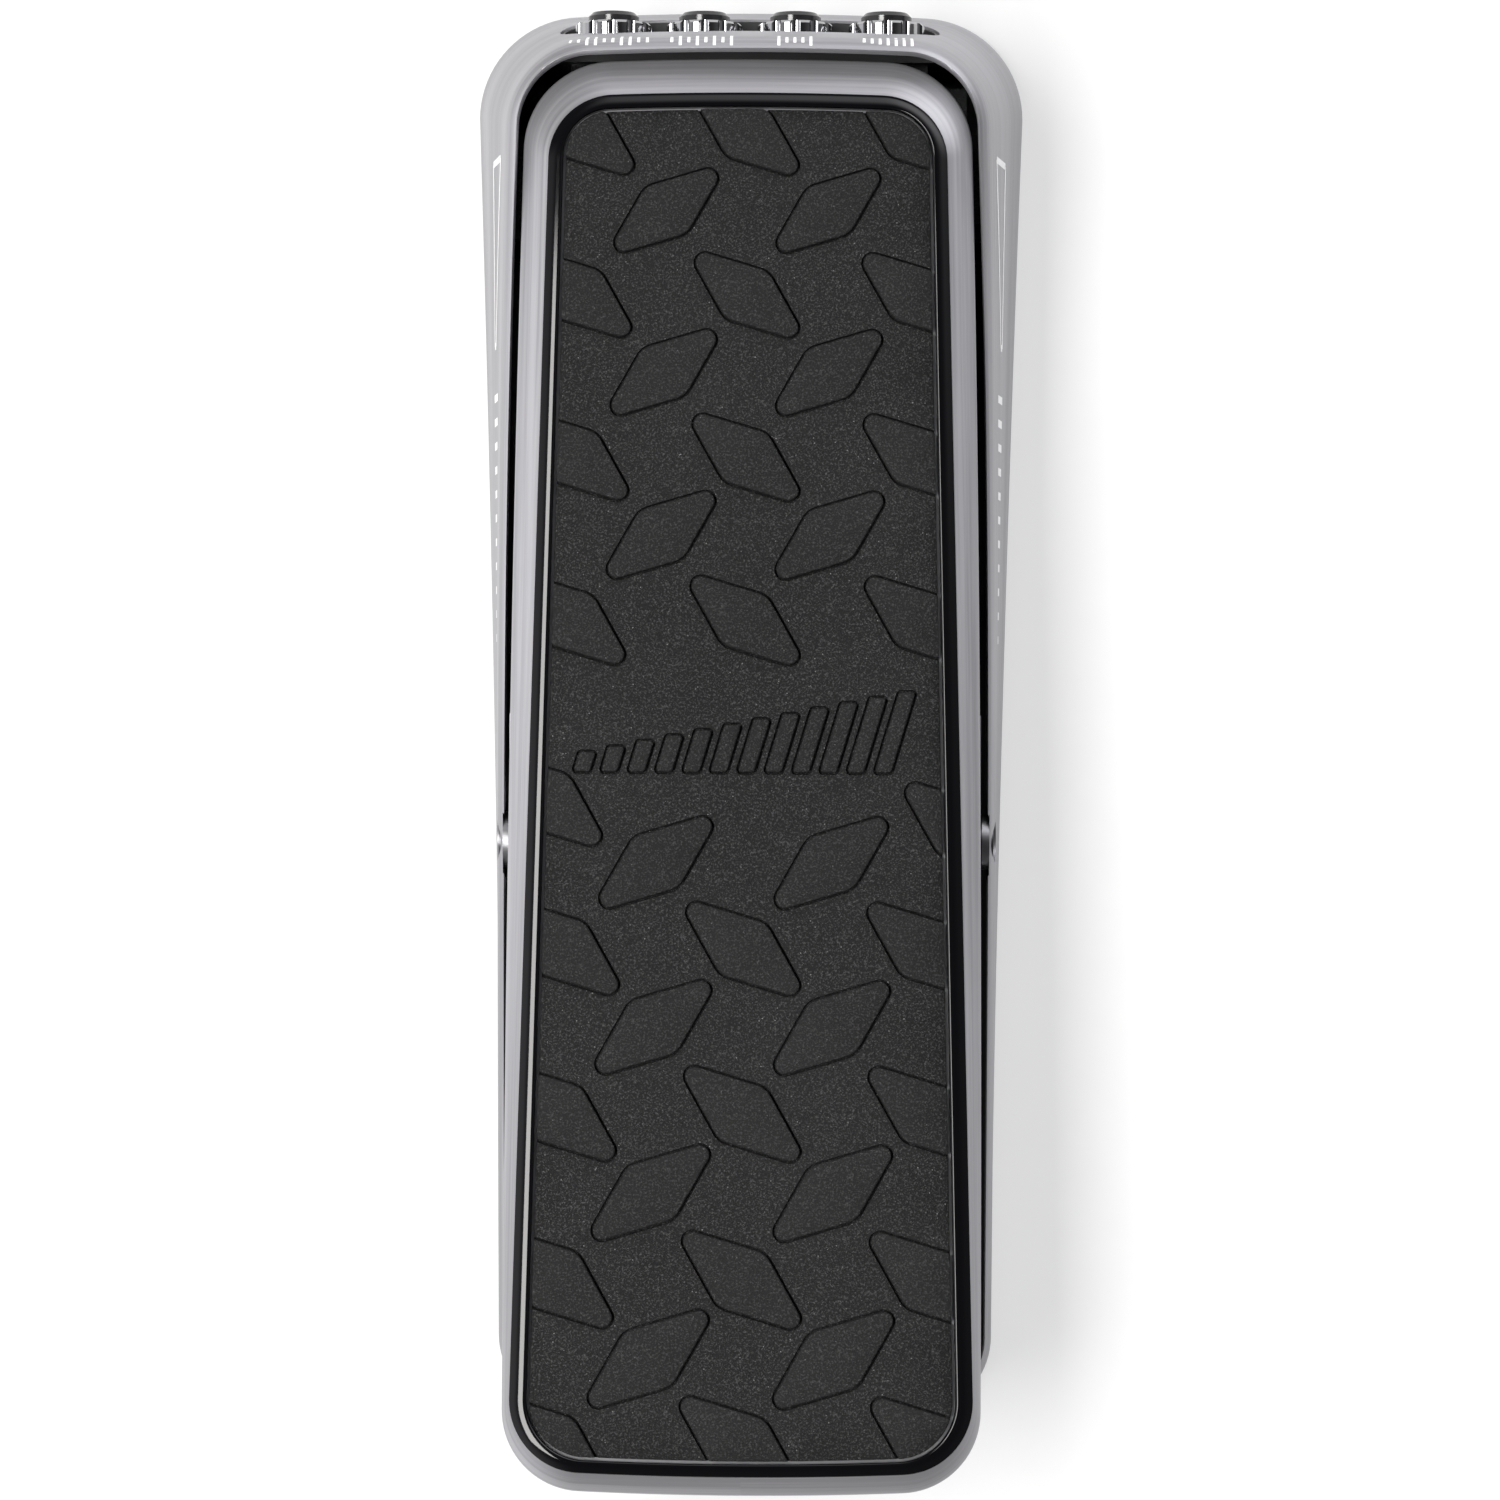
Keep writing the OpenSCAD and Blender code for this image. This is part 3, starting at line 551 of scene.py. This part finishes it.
def chassis_rings():
    """Outside from the base up to the rim, then down the inside, over the lip, to the base."""
    rings = [ring(chassis_outline(0, 0.5), BASE_Z),
             ring(chassis_outline(0, 0.12), BASE_Z + 0.12),
             ring(chassis_outline(0, 0), BASE_Z + 0.5)]
    top, inner = chassis_outline(1, 0), rim_inner()
    shoulder = ring(top, rim_z(top[:, 1]) - RIM_HIGH)
    foot = rings[-1]
    rings += [foot + (shoulder - foot) * t for t in (0.25, 0.5, 0.75)]
    for a in np.linspace(0, RIM_TURN, 14):
        across = (1 - math.cos(a)) / (1 - math.cos(RIM_TURN))
        drop = RIM_HIGH * (1 - math.sin(a) / math.sin(RIM_TURN))
        flat = top + (inner - top) * RIM_CREST * across
        rings.append(ring(flat, rim_z(flat[:, 1]) - drop))
    rings.append(ring(inner, rim_z(inner[:, 1]) - RIM_EDGE))
    inner_low = ring(chassis_outline(0, WALL), BASE_Z)
    rings.append(ring(inner, rim_z(inner[:, 1]) - SHADE_DEPTH))
    inner_top = rings[-1]
    rings += [inner_top + (inner_low - inner_top) * t for t in (0.33, 0.66)]
    for inset, up in ((0, LIP_TOP), (LIP_REACH, LIP_EDGE), (LIP_REACH, 0), (0, 0)):
        rings.append(ring(chassis_outline(0.06, WALL + inset), LIP_Z + up))
    rings.append(inner_low)
    return rings


def paint_inside_shade(obj):
    """Painted shade: the faces of the casting inside its walls get a near-black material that stands in
    for the shade inside the pedal.
    """
    low, high = chassis_outline(0, 0), chassis_outline(1, 0)
    half = len(low) // 2 + 1
    obj.data.materials.append(INNER_SHADE)
    for face in obj.data.polygons:
        x, y, z = face.center / MM
        t = min(max((z - BASE_Z) / (rim_z(y) - BASE_Z), 0), 1)
        sides = [np.interp(y, p[:half, 1], p[:half, 0], 0, 0) for p in (low, high)]
        wall = lerp(RIM_WALL_HEEL, RIM_WALL_TOE, (y - HEEL_Y) / (TOE_Y - HEEL_Y))
        inside = abs(x) < lerp(*sides, t) - 0.8 * wall
        if inside and HEEL_Y + 2 < y < TOE_Y - TOE_DRAFT * t - 2.2 and z < rim_z(y) - SHADE_DEPTH:
            face.material_index = 1


def mirrored(points, side):
    """Flat outline drawn for +x, turned over for side -1 with its direction kept."""
    flat = [(side * x, y) for x, y in points]
    return flat if side > 0 else flat[::-1]


def add_posts(obj):
    """Posts on the wall that take the screws of the base plate."""
    for side in (-1, 1):
        for x, y in SCREWS:
            wall_x = chassis_side(0.15, y) - WALL / 2
            web = [(wall_x, y - POST_WEB), (wall_x, y + POST_WEB)]
            arc = [(x + POST_R * math.cos(a), y + POST_R * math.sin(a))
                   for a in np.linspace(math.radians(45), math.radians(315), 24)]
            boolean(obj, prism("post", mirrored(web + arc, side), *POST_Z), "UNION")


def add_ledges(obj):
    """Ledges at the toe that carry the rubber bumpers."""
    low, high = LEDGE_Y
    for side in (-1, 1):
        edge = chassis_side(0.7, (low + high) / 2) - WALL / 2
        flat = rectangle(LEDGE_X, edge, low, high)
        boolean(obj, prism("ledge", mirrored(flat, side), *LEDGE_Z), "UNION")


def cut_openings(obj):
    """Window for the jacks, bore and recesses of the pivot, pilot holes in the posts."""
    window = [(u, v + JACK_Z) for u, v in rounded_box(WINDOW_HALF_W, WINDOW_R, WINDOW_R - 0.01, 20)]
    boolean(obj, prism("window", window, TOE_Y - 20, TOE_Y + 4, "Y"), "DIFFERENCE")
    boolean(obj, prism("bore", circle_points(PIVOT.y, PIVOT.z, SHAFT_R), -60, 60, "X"), "DIFFERENCE")
    for side in (-1, 1):
        hole = circle_points(PIVOT.y, PIVOT.z, RECESS_R, 80)
        low, high = sorted(side * x for x in RECESS_X)
        boolean(obj, prism("recess", hole, low, high, "X"), "DIFFERENCE")
    for side in (-1, 1):
        for x, y in SCREWS:
            hole = circle_points(side * x, y, PILOT_R, 24)
            boolean(obj, prism("pilot", hole, *PILOT_Z), "DIFFERENCE")


def make_chassis():
    obj = new_object("chassis_casting", loft_mesh("chassis_casting", chassis_rings(), closed=True))
    fix_normals(obj)
    add_posts(obj)
    add_ledges(obj)
    cut_openings(obj)
    weigh_edges(obj, lambda p: p.y > 120 and abs(p.x) < WINDOW_HALF_W + 1)
    bevel(obj, 0.45, 3, weight=True)
    shade(obj)
    finish_piece(obj, "base", "cast_grey", "chassis")
    # painted shade on the inside of the walls
    paint_inside_shade(obj)
    return obj


# ---------------------------------------------------------------- treadle
def skirt_z(y):
    """Lower edge of the skirt, which deepens towards the heel."""
    return -SKIRT_TOE + (SKIRT_HEEL - SKIRT_TOE) / TREADLE_L * y


def treadle_rings():
    """From under the plate down the inside of the skirt, up its outside, over the bevel
    and down into the pocket for the tread."""
    rings = [ring(treadle_outline(SKIRT_WALL + SKIRT_FILLET), PLATE_UNDER)]
    for a in np.linspace(0, math.pi / 2, 5)[1:]:
        flat = treadle_outline(SKIRT_WALL + SKIRT_FILLET * (1 - math.sin(a)))
        rings.append(ring(flat, PLATE_UNDER - SKIRT_FILLET * (1 - math.cos(a))))
    for inset, up in ((SKIRT_WALL, 0.3), (SKIRT_WALL - 0.3, 0), (0.5, 0), (0.12, 0.12), (0, 0.5)):
        flat = treadle_outline(inset, HEEL_LEAN)
        rings.append(ring(flat, skirt_z(flat[:, 1]) + up))
    edge = treadle_outline(0)
    high = ring(trim_outline(0.02), BEVEL_HIGH)
    low = ring(edge, BEVEL_LOW)
    rings.append(ring(edge, BEVEL_LOW - EDGE_R))
    way = high - low
    way /= np.linalg.norm(way, axis=1, keepdims=True)
    down = np.array([0, 0, -1.0])
    for turn in np.linspace(0, 1, 7)[1:]:
        bend = ((1 - turn) ** 2 * down + turn ** 2 * way) * EDGE_R
        rings.append(low + bend)
    start = rings[-1]
    for t in (0.15, 0.3, 0.45, 0.6, 0.75, 0.9, 1.0):
        bulge = np.array([0, 0, CROWN * math.sin(math.pi * t)])
        rings.append(start + (high - start) * t + bulge)
    rings.append(ring(trim_outline(0.02), POCKET_FLOOR))
    return rings


def rounded_ear():
    """Side view (y, z) of a pivot ear: round below the pivot, with flanks that spread upward."""
    points = []
    for a in np.linspace(math.radians(200), math.radians(340), 20):
        points.append((PIVOT.y + EAR_R * math.cos(a), PIVOT.z + EAR_R * math.sin(a)))
    for way, steps in ((1, np.linspace(0, 1, 9)[1:]), (-1, np.linspace(1, 0, 9)[:-1])):
        for t in steps:
            out = EAR_R + 0.1 + EAR_SPREAD * t ** 1.7
            points.append((PIVOT.y + way * out, PIVOT.z - 2 + EAR_H * t))
    return points


def make_treadle():
    mesh = loft_mesh("treadle_casting", treadle_rings())
    obj = new_object("treadle_casting", mesh, IN_TREADLE)
    fix_normals(obj)
    for s in (-1, 1):
        low, high = sorted((s * EAR_IN, s * (EAR_OUT - 0.02)))
        boolean(obj, prism("ear", rounded_ear(), low, high, "X"), "UNION")
    for x in (-RIB_X, RIB_X):
        flat = rectangle(x - RIB_HALF, x + RIB_HALF, -TREADLE_L + 3, -3)
        boolean(obj, prism("rib", flat, RIB_LOW, PLATE_UNDER + 0.5, "Z", IN_TREADLE), "UNION")
    flat = rectangle(-HEEL_RIB_HALF, HEEL_RIB_HALF, *HEEL_RIB_Y)
    heel_rib = prism("heel_rib", flat, HEEL_RIB_LOW, PLATE_UNDER + 0.5, "Z", IN_TREADLE)
    boolean(obj, heel_rib, "UNION")
    for s in (-1, 1):
        low, high = sorted((s * (EAR_IN - 2), s * (EAR_OUT + 2)))
        bore = circle_points(PIVOT.y, PIVOT.z, EAR_BORE_R)
        boolean(obj, prism("bore", bore, low, high, "X"), "DIFFERENCE")
    shade(obj)
    return finish_piece(obj, "treadle", "cast_grey", "treadle")


def trim_height(s):
    """Height of the moulding at s, from 0 at its outer edge to 1 at its crest."""
    steep, flat = math.radians(TRIM_TILT[0]), math.radians(TRIM_TILT[1])
    r = TRIM_W / (math.sin(steep) - math.sin(flat))
    at = math.asin(math.sin(steep) - s * TRIM_W / r)
    return r * (math.cos(at) - math.cos(flat))


def make_trim():
    """Convex moulding whose crest lies next to the rubber."""
    outer, inner = trim_outline(0.05), mat_outline(0.0)
    crest = inner + (outer - inner) * TRIM_NOSE
    rings = [ring(outer, POCKET_FLOOR + 0.02)]
    for s in np.linspace(0, 1, 18):
        rings.append(ring(outer + (crest - outer) * s, trim_height(s) - 0.02))
    for a in np.linspace(0, math.pi / 2, 7)[1:]:
        flat = crest + (inner - crest) * math.sin(a)
        rings.append(ring(flat, -0.02 - 0.45 * (1 - math.cos(a))))
    rings.append(ring(inner, POCKET_FLOOR + 0.02))
    mesh = loft_mesh("trim_moulding", rings, closed=True)
    obj = new_object("trim_moulding", mesh, IN_TREADLE)
    fix_normals(obj)
    shade(obj, math.radians(50))
    return finish_piece(obj, "treadle", "trim_gloss", "treadle_trim")


# ---------------------------------------------------------------- rubber tread
ROW_PITCH = 30.6
SLASH_ROW, BACK_ROW = -29.5, -14.9      # first rows of blocks leaning right and leaning left
SLASH_X, BACK_X = 14.95, 30.6
BESIDE_EMBLEM = ((-34.0, -140.4), (37.2, -145.4))
TIP, HIP = (11.2, 8.8), (3.84, 4.3)     # sharp and blunt corners of one block
TIP_R, HIP_R = 1.75, 4.0
EMBLEM_Y, EMBLEM_HALF_H = -127.5, 7.5
TREAD_EDGE, TREAD_ROLL = 0.5, 0.18      # gap to the trim, and width of the rounded edge
# Height of the tread across a block's edge: distance outside the edge, height
EDGE_PROFILE = ((0.50, MAT_BASE), (0.42, MAT_BASE - 1.1), (0.05, MAT_BASE - 1.1),
                (0.0, MAT_TOP - 0.2), (-0.1, MAT_TOP - 0.06), (-0.3, MAT_TOP))


def spread(y):
    """The pattern grows towards the heel, like the tread itself."""
    return 1 + 0.16 * (-y / TREADLE_L)


def rounded_polygon(corners, radii, grow):
    """Closed outline with round corners, moved outward by grow."""
    points = []
    n = len(corners)
    for i in range(n):
        before, here, after = (np.array(corners[(i + k) % n], float) for k in (-1, 0, 1))
        to_before = (before - here) / np.linalg.norm(before - here)
        to_after = (after - here) / np.linalg.norm(after - here)
        half = math.acos(float(np.clip(to_before @ to_after, -1, 1))) / 2
        middle = (to_before + to_after) / np.linalg.norm(to_before + to_after)
        centre = here + middle * radii[i] / math.sin(half)
        facing = math.atan2(-middle[1], -middle[0])
        sweep = math.pi / 2 - half
        for a in facing + np.linspace(-sweep, sweep, 11):
            points.append(centre + (radii[i] + grow) * np.array([math.cos(a), math.sin(a)]))
    return np.array(points)


def block_corners(x, y, lean):
    """Rhombus that leans right (lean 1) or left (lean -1), counter-clockwise."""
    k = spread(y)
    pairs = ((TIP[0], TIP[1]), (-HIP[0], HIP[1]), (-TIP[0], -TIP[1]), (HIP[0], -HIP[1]))
    corners = [(x * k + lean * u * k, y + v * k) for u, v in pairs]
    return corners if lean > 0 else corners[::-1]


def ramp_bars():
    """Emblem: slanted bars that grow from left to right, the general sign for level."""
    bars = []
    count, pitch, width, slant = 12, 5.1, 3.0, 0.30
    low = EMBLEM_Y - EMBLEM_HALF_H
    for i in range(count):
        height = lerp(3.6, 2 * EMBLEM_HALF_H, i / (count - 1))
        x = (i - (count - 1) / 2) * pitch - width / 2
        left, right = x - slant * EMBLEM_HALF_H, x + width - slant * EMBLEM_HALF_H
        lean = slant * height
        bars.append([(right, low), (right + lean, low + height),
                     (left + lean, low + height), (left, low)])
    return bars


def tread_islands():
    """Every raised figure on the tread: (corners, corner radii)."""
    islands = []
    for k in range(8):
        y = SLASH_ROW - ROW_PITCH * k
        if k != 3:
            for x in (-SLASH_X, SLASH_X):
                islands.append((block_corners(x, y, 1), (TIP_R, HIP_R, TIP_R, HIP_R)))
    backs = [(x, BACK_ROW - ROW_PITCH * k) for k in range(9) if k != 4
             for x in (-BACK_X, 0, BACK_X)]
    for x, y in backs + list(BESIDE_EMBLEM):
        islands.append((block_corners(x, y, -1), (HIP_R, TIP_R, HIP_R, TIP_R)))
    for bar in ramp_bars():
        islands.append((bar, (0.5,) * 4))
    return islands


def densify(loop, longest):
    """The same closed outline with no edge longer than asked for."""
    points = []
    for here, there in zip(loop, np.roll(loop, -1, axis=0)):
        parts = max(1, math.ceil(np.linalg.norm(there - here) / longest))
        points += [here + (there - here) * i / parts for i in range(parts)]
    return np.array(points)


def distance_outside(points, loop):
    """Signed distance of many points from a convex closed outline, negative inside."""
    a = loop[None, :, :]
    edge = np.roll(loop, -1, axis=0)[None, :, :] - a
    to_point = points[:, None, :] - a
    length = np.maximum((edge ** 2).sum(2), 1e-12)
    t = np.clip((to_point * edge).sum(2) / length, 0, 1)
    gap = np.linalg.norm(to_point - edge * t[:, :, None], axis=2).min(1)
    side = edge[:, :, 0] * to_point[:, :, 1] - edge[:, :, 1] * to_point[:, :, 0]
    return np.where((side >= -1e-9).all(1), -gap, gap)


def nearest_block(points, blocks):
    """Signed distance from the nearest raised figure, capped at 1 mm."""
    best = np.full(len(points), 1.0)
    for loop in blocks:
        low, high = loop.min(0) - 1, loop.max(0) + 1
        near = ((points > low) & (points < high)).all(1)
        best[near] = np.minimum(best[near], distance_outside(points[near], loop))
    return best


def make_tread():
    """One height field for base, grooves and blocks, closed to a solid pad."""
    edge = mat_outline(TREAD_EDGE)
    outer, border = densify(edge, 3.0), densify(mat_outline(TREAD_EDGE + TREAD_ROLL), 3.0)
    figures = tread_islands()
    loops = [outer, border]
    for corners, radii in figures:
        loops += [densify(rounded_polygon(corners, radii, grow), 1.5) for grow, _ in EDGE_PROFILE]
    points, edges = [], []
    for loop in loops:
        start = len(points)
        points += [Vector(p) for p in loop]
        edges += [(start + i, start + (i + 1) % len(loop)) for i in range(len(loop))]
    verts, _, faces, _, _, _ = delaunay_2d_cdt(points, edges, [], 0, 1e-4)
    flat = np.array([tuple(v) for v in verts])
    faces = np.array([f for f in faces if len(f) == 3])
    middles = flat[faces].mean(1)
    faces = faces[distance_outside(middles, edge) < 0]
    middles = flat[faces].mean(1)
    blocks = [rounded_polygon(corners, radii, 0.0) for corners, radii in figures]
    gap = nearest_block(flat, blocks)
    away = [d for d, _ in EDGE_PROFILE][::-1]
    heights = [z for _, z in EDGE_PROFILE][::-1]
    z = np.interp(gap, away, heights)
    rim = np.clip(-distance_outside(flat, edge) / TREAD_ROLL, 0, 1)
    z -= 0.15 * (1 - rim) ** 2
    mesh = bpy.data.meshes.new("tread_rubber")
    mesh.from_pydata(np.column_stack([flat, z]).tolist(), [], faces.tolist())
    raised = nearest_block(middles, blocks) < 0.0
    mesh.polygons.foreach_set("material_index", raised.astype(np.int32))
    close_pad(mesh)
    obj = new_object("tread_rubber", mesh, IN_TREADLE)
    fix_normals(obj)
    shade(obj, math.radians(40))
    obj.data.materials.append(MATERIALS["tread_rubber"])
    obj.data.materials.append(BLOCK_RUBBER)
    return finish_piece(obj, "treadle", "tread_rubber", "tread_mat")


def close_pad(mesh):
    """Walls down from the open edge of the tread, and its flat underside."""
    bm = bmesh.new()
    bm.from_mesh(mesh)
    loose = [v for v in bm.verts if not v.link_faces]
    bmesh.ops.delete(bm, geom=loose, context="VERTS")
    rim = [e for e in bm.edges if e.is_boundary]
    wall = bmesh.ops.extrude_edge_only(bm, edges=rim)["geom"]
    for vert in (g for g in wall if isinstance(g, bmesh.types.BMVert)):
        vert.co.z = POCKET_FLOOR + 0.02
    low = [e for e in wall if isinstance(e, bmesh.types.BMEdge) and e.is_boundary]
    bmesh.ops.contextual_create(bm, geom=low)
    bm.to_mesh(mesh)
    bm.free()


# ---------------------------------------------------------------- printed signs
PRINT_PROUD = 0.04              # how far a print stands above the casting
# Signs beside the jacks: width of each, and heights of the bars in it
JACK_SIGNS = ((14.6, (1.2, 1.2, 2.4, 2.4, 1.2, 1.2, 2.4, 2.4, 1.2, 1.2)),
              (11.2, (1.2, 2.4, 1.2, 2.4, 1.2, 2.4, 1.2, 2.4)),
              (6.0, (2.4, 1.2, 1.2, 1.2, 2.4)),
              (9.0, (1.0, 1.4, 1.8, 2.1, 2.4, 2.4, 2.4)))
JACK_SIGN_Y, JACK_STROKE = 129.9, 0.55


def strip(a, b, width, steps=8):
    """Four-sided stroke between two flat points as a grid of points: rows of two."""
    a, b = np.array(a, float), np.array(b, float)
    d = (b - a) / np.linalg.norm(b - a)
    n = np.array([-d[1], d[0]]) * width / 2
    return [(a + (b - a) * t + n, a + (b - a) * t - n) for t in np.linspace(0, 1, steps)]


def print_mesh(name, strokes, place):
    """Thin white strokes; place turns flat coordinates into points on the casting."""
    points, faces = [], []
    for stroke in strokes:
        start = len(points)
        for left, right in stroke:
            points += [place(*left), place(*right)]
        for i in range(len(stroke) - 1):
            k = start + 2 * i
            faces.append((k, k + 1, k + 3, k + 2))
    mesh = bpy.data.meshes.new(name)
    mesh.from_pydata([tuple(p) for p in points], [], faces)
    obj = new_object(name, mesh)
    obj.data.materials.append(PRINT)
    return obj


def side_strokes():
    """Level wedge in outline, then a row of bars that grow towards the toe."""
    strokes = []
    wedge = [(74, 26), (109, 26), (109, 38), (74, 28.4)]
    for a, b in zip(wedge, wedge[1:] + wedge[:1]):
        strokes.append(strip(a, b, 1.3, 24))
    count = 11
    for i in range(count):
        y = lerp(18, 64, i / (count - 1))
        height = lerp(2.0, 8.0, i / (count - 1))
        strokes.append(strip((y, 24), (y, 24 + height), 1.5, 4))
    return strokes


def on_casting(tree, start, way):
    """Point a hair above the casting where a ray meets it, in mm."""
    hit = tree.ray_cast(Vector(start) * MM, Vector(way))
    if hit[0] is None:
        raise RuntimeError("a print misses the casting")
    return (hit[0] + hit[1] * PRINT_PROUD * MM) / MM


def make_side_prints(tree):
    """Wedge and bars on the left and right walls."""
    for side, name in ((-1, "left_print"), (1, "right_print")):
        def place(y, z, s=side):
            return on_casting(tree, (s * 100, y, z), (-s, 0, 0))
        finish_piece(print_mesh(name, side_strokes(), place), "base", "cast_grey")


def make_jack_prints(tree):
    """One small sign on the toe rim beside each jack."""
    def place(x, y):
        return on_casting(tree, (x, y, 100), (0, 0, -1))

    strokes = []
    for x, (width, heights) in zip(JACK_X, JACK_SIGNS):
        count = len(heights)
        for i, height in enumerate(heights):
            at = x + width * (i / (count - 1) - 0.5)
            low, high = JACK_SIGN_Y - height / 2, JACK_SIGN_Y + height / 2
            strokes.append(strip((at, low), (at, high), JACK_STROKE))
    obj = print_mesh("jack_print", strokes, place)
    finish_piece(obj, "base", "cast_grey")


# ---------------------------------------------------------------- CAD nodes kept as they are
# Width of the rounded edges that each kept node gets, in mm
BEVELS = {"jack_nuts": 0.12, "jack_washers": 0.15, "base_plate": 0.3, "feet": 0.5,
          "pot_bracket": 0.3, "pot_body": 0.4, "drive_arm": 0.4, "tension_clamp": 0.5, "toe_bumpers": 0.6,
          "heel_bumpers": 0.8, "jack_panel": 0.25, "board_parts": 0.2, "pivot_shaft": 0.25,
          "pivot_washers": 0.2, "pot_nut": 0.2, "circuit_board": 0.15, "drive_drum": 0.25,
          "tension_screw": 0.2, "base_screws": 0.2, "foot_screws": 0.2, "board_screws": 0.2,
          "arm_screws": 0.2, "bracket_screws": 0.2, "pivot_bushings": 0.25, "pot_shaft": 0.3,
          "board_standoffs": 0.15, "pot_wires": 0.3}


def dress_nodes(replaced):
    """Material, rounded edges and smooth shading for the CAD nodes that stay."""
    slots = {s["node"]: s["material_slot"] for s in frame["record"]["subparts"]}
    for name, obj in frame["nodes"].items():
        if name in replaced:
            continue
        obj.data.materials.clear()
        obj.data.materials.append(MATERIALS[slots[name]])
        for face in obj.data.polygons:
            face.use_smooth = True
        width = BEVELS.get(name)
        if width:
            bevel(obj, width, 2, 40)
        mod = obj.modifiers.new("normals", "WEIGHTED_NORMAL")
        mod.keep_sharp = True


# ---------------------------------------------------------------- stage, lights, camera
FLOOR_HALF = 3000               # mm; the lights and the camera below are in metres
KEY_PLACE, KEY_SIZE = (-0.5, -0.1, 1.25), (0.42, 1.0)
KEY_POWER, KEY_TINT = 28, (1.0, 0.99, 0.97)
SKY_FALL = (0.95, 0.6)          # the sky gets paler as the direction sinks between these heights
CAMERA_PLACE, CAMERA_LENS = (0.0125, -0.0033, 1.0), 121.48
CAMERA_ROLL = math.radians(0.27)
AIM_X, AIM_Z = 0.0007, 0.03     # point that the camera is tilted to


def make_floor():
    mesh = bpy.data.meshes.new("floor")
    corners = rectangle(-FLOOR_HALF, FLOOR_HALF, -FLOOR_HALF, FLOOR_HALF)
    mesh.from_pydata([(x, y, 0) for x, y in corners], [], [(0, 1, 2, 3)])
    obj = new_object("floor", mesh)
    obj.data.materials.append(floor_material())


def make_key():
    """Long soft box on the left, tipped towards the pedal about its own length."""
    data = bpy.data.lights.new("key", "AREA")
    data.shape, data.size, data.size_y = "RECTANGLE", *KEY_SIZE
    data.energy, data.color = KEY_POWER, KEY_TINT
    obj = bpy.data.objects.new("key", data)
    bpy.context.scene.collection.objects.link(obj)
    obj.location = KEY_PLACE
    obj.rotation_euler = (0, -math.atan2(-KEY_PLACE[0], KEY_PLACE[2]), 0)


class Sky:
    """World whose brightness follows the direction: dark overhead, brightest at the toe."""

    def __init__(self):
        self.world = bpy.data.worlds.new("studio")
        self.world.use_nodes = True
        self.tree = self.world.node_tree
        coords = self.tree.nodes.new("ShaderNodeTexCoord")
        self.split = self.tree.nodes.new("ShaderNodeSeparateXYZ")
        self.tree.links.new(coords.outputs["Generated"], self.split.inputs[0])

    def ramp(self, axis, low, high, out_low, out_high):
        """Smooth step along one axis of the view direction."""
        node = self.tree.nodes.new("ShaderNodeMapRange")
        node.interpolation_type = "SMOOTHSTEP"
        values = (("From Min", low), ("From Max", high), ("To Min", out_low), ("To Max", out_high))
        for name, value in values:
            node.inputs[name].default_value = value
        self.tree.links.new(self.split.outputs[axis], node.inputs["Value"])
        return node.outputs[0]

    def join(self, operation, a, b):
        node = self.tree.nodes.new("ShaderNodeMath")
        node.operation = operation
        self.tree.links.new(a, node.inputs[0])
        self.tree.links.new(b, node.inputs[1])
        return node.outputs[0]

    def finish(self, strength):
        back = self.tree.nodes["Background"]
        back.inputs["Color"].default_value = colour(0.97, 0.97, 1.0)
        self.tree.links.new(strength, back.inputs["Strength"])
        bpy.context.scene.world = self.world


def make_sky():
    """A dim sky, with paler fields low down at the toe on the right, on the left and right."""
    sky = Sky()
    level = sky.ramp("Z", *SKY_FALL, 0.04, 0.1)
    low = sky.ramp("Z", *SKY_FALL, 0.0, 1.0)
    toe_right = sky.join("MULTIPLY", sky.ramp("Y", 0.1, 0.7, 0.0, 4.2),
                         sky.ramp("X", -0.4, 0.45, 0.0, 1.0))
    toe_right = sky.join("MULTIPLY", toe_right, sky.ramp("Z", 0.0, 0.4, 0.1, 1.0))
    left = sky.join("MULTIPLY", sky.ramp("X", -0.1, -0.8, 0.0, 1.1),
                    sky.ramp("Y", 0.45, 0.05, 0.0, 1.0))
    right = sky.ramp("X", 0.2, 0.9, 0.0, 0.05)
    sides = sky.join("ADD", sky.join("ADD", toe_right, left), right)
    bright = sky.join("MULTIPLY", sides, low)
    sky.finish(sky.join("ADD", level, bright))


def make_camera():
    """A metre above the floor, a little to the right, looking back at the pedal."""
    data = bpy.data.cameras.new("camera")
    data.sensor_width = 36
    data.lens = CAMERA_LENS
    data.clip_start, data.clip_end = 0.05, 20
    obj = bpy.data.objects.new("camera", data)
    bpy.context.scene.collection.objects.link(obj)
    obj.location = CAMERA_PLACE
    tilt = math.atan2(CAMERA_PLACE[0] - AIM_X, CAMERA_PLACE[2] - AIM_Z)
    obj.rotation_euler = (0, tilt, CAMERA_ROLL)
    bpy.context.scene.camera = obj


chassis = make_chassis()
make_treadle()
make_trim()
make_tread()
casting = BVHTree.FromObject(chassis, bpy.context.evaluated_depsgraph_get())
make_side_prints(casting)
make_jack_prints(casting)
dress_nodes({"chassis", "treadle", "treadle_trim", "tread_mat"})
make_floor()
make_key()
make_sky()
make_camera()
bpy.context.scene.view_settings.view_transform = "Standard"
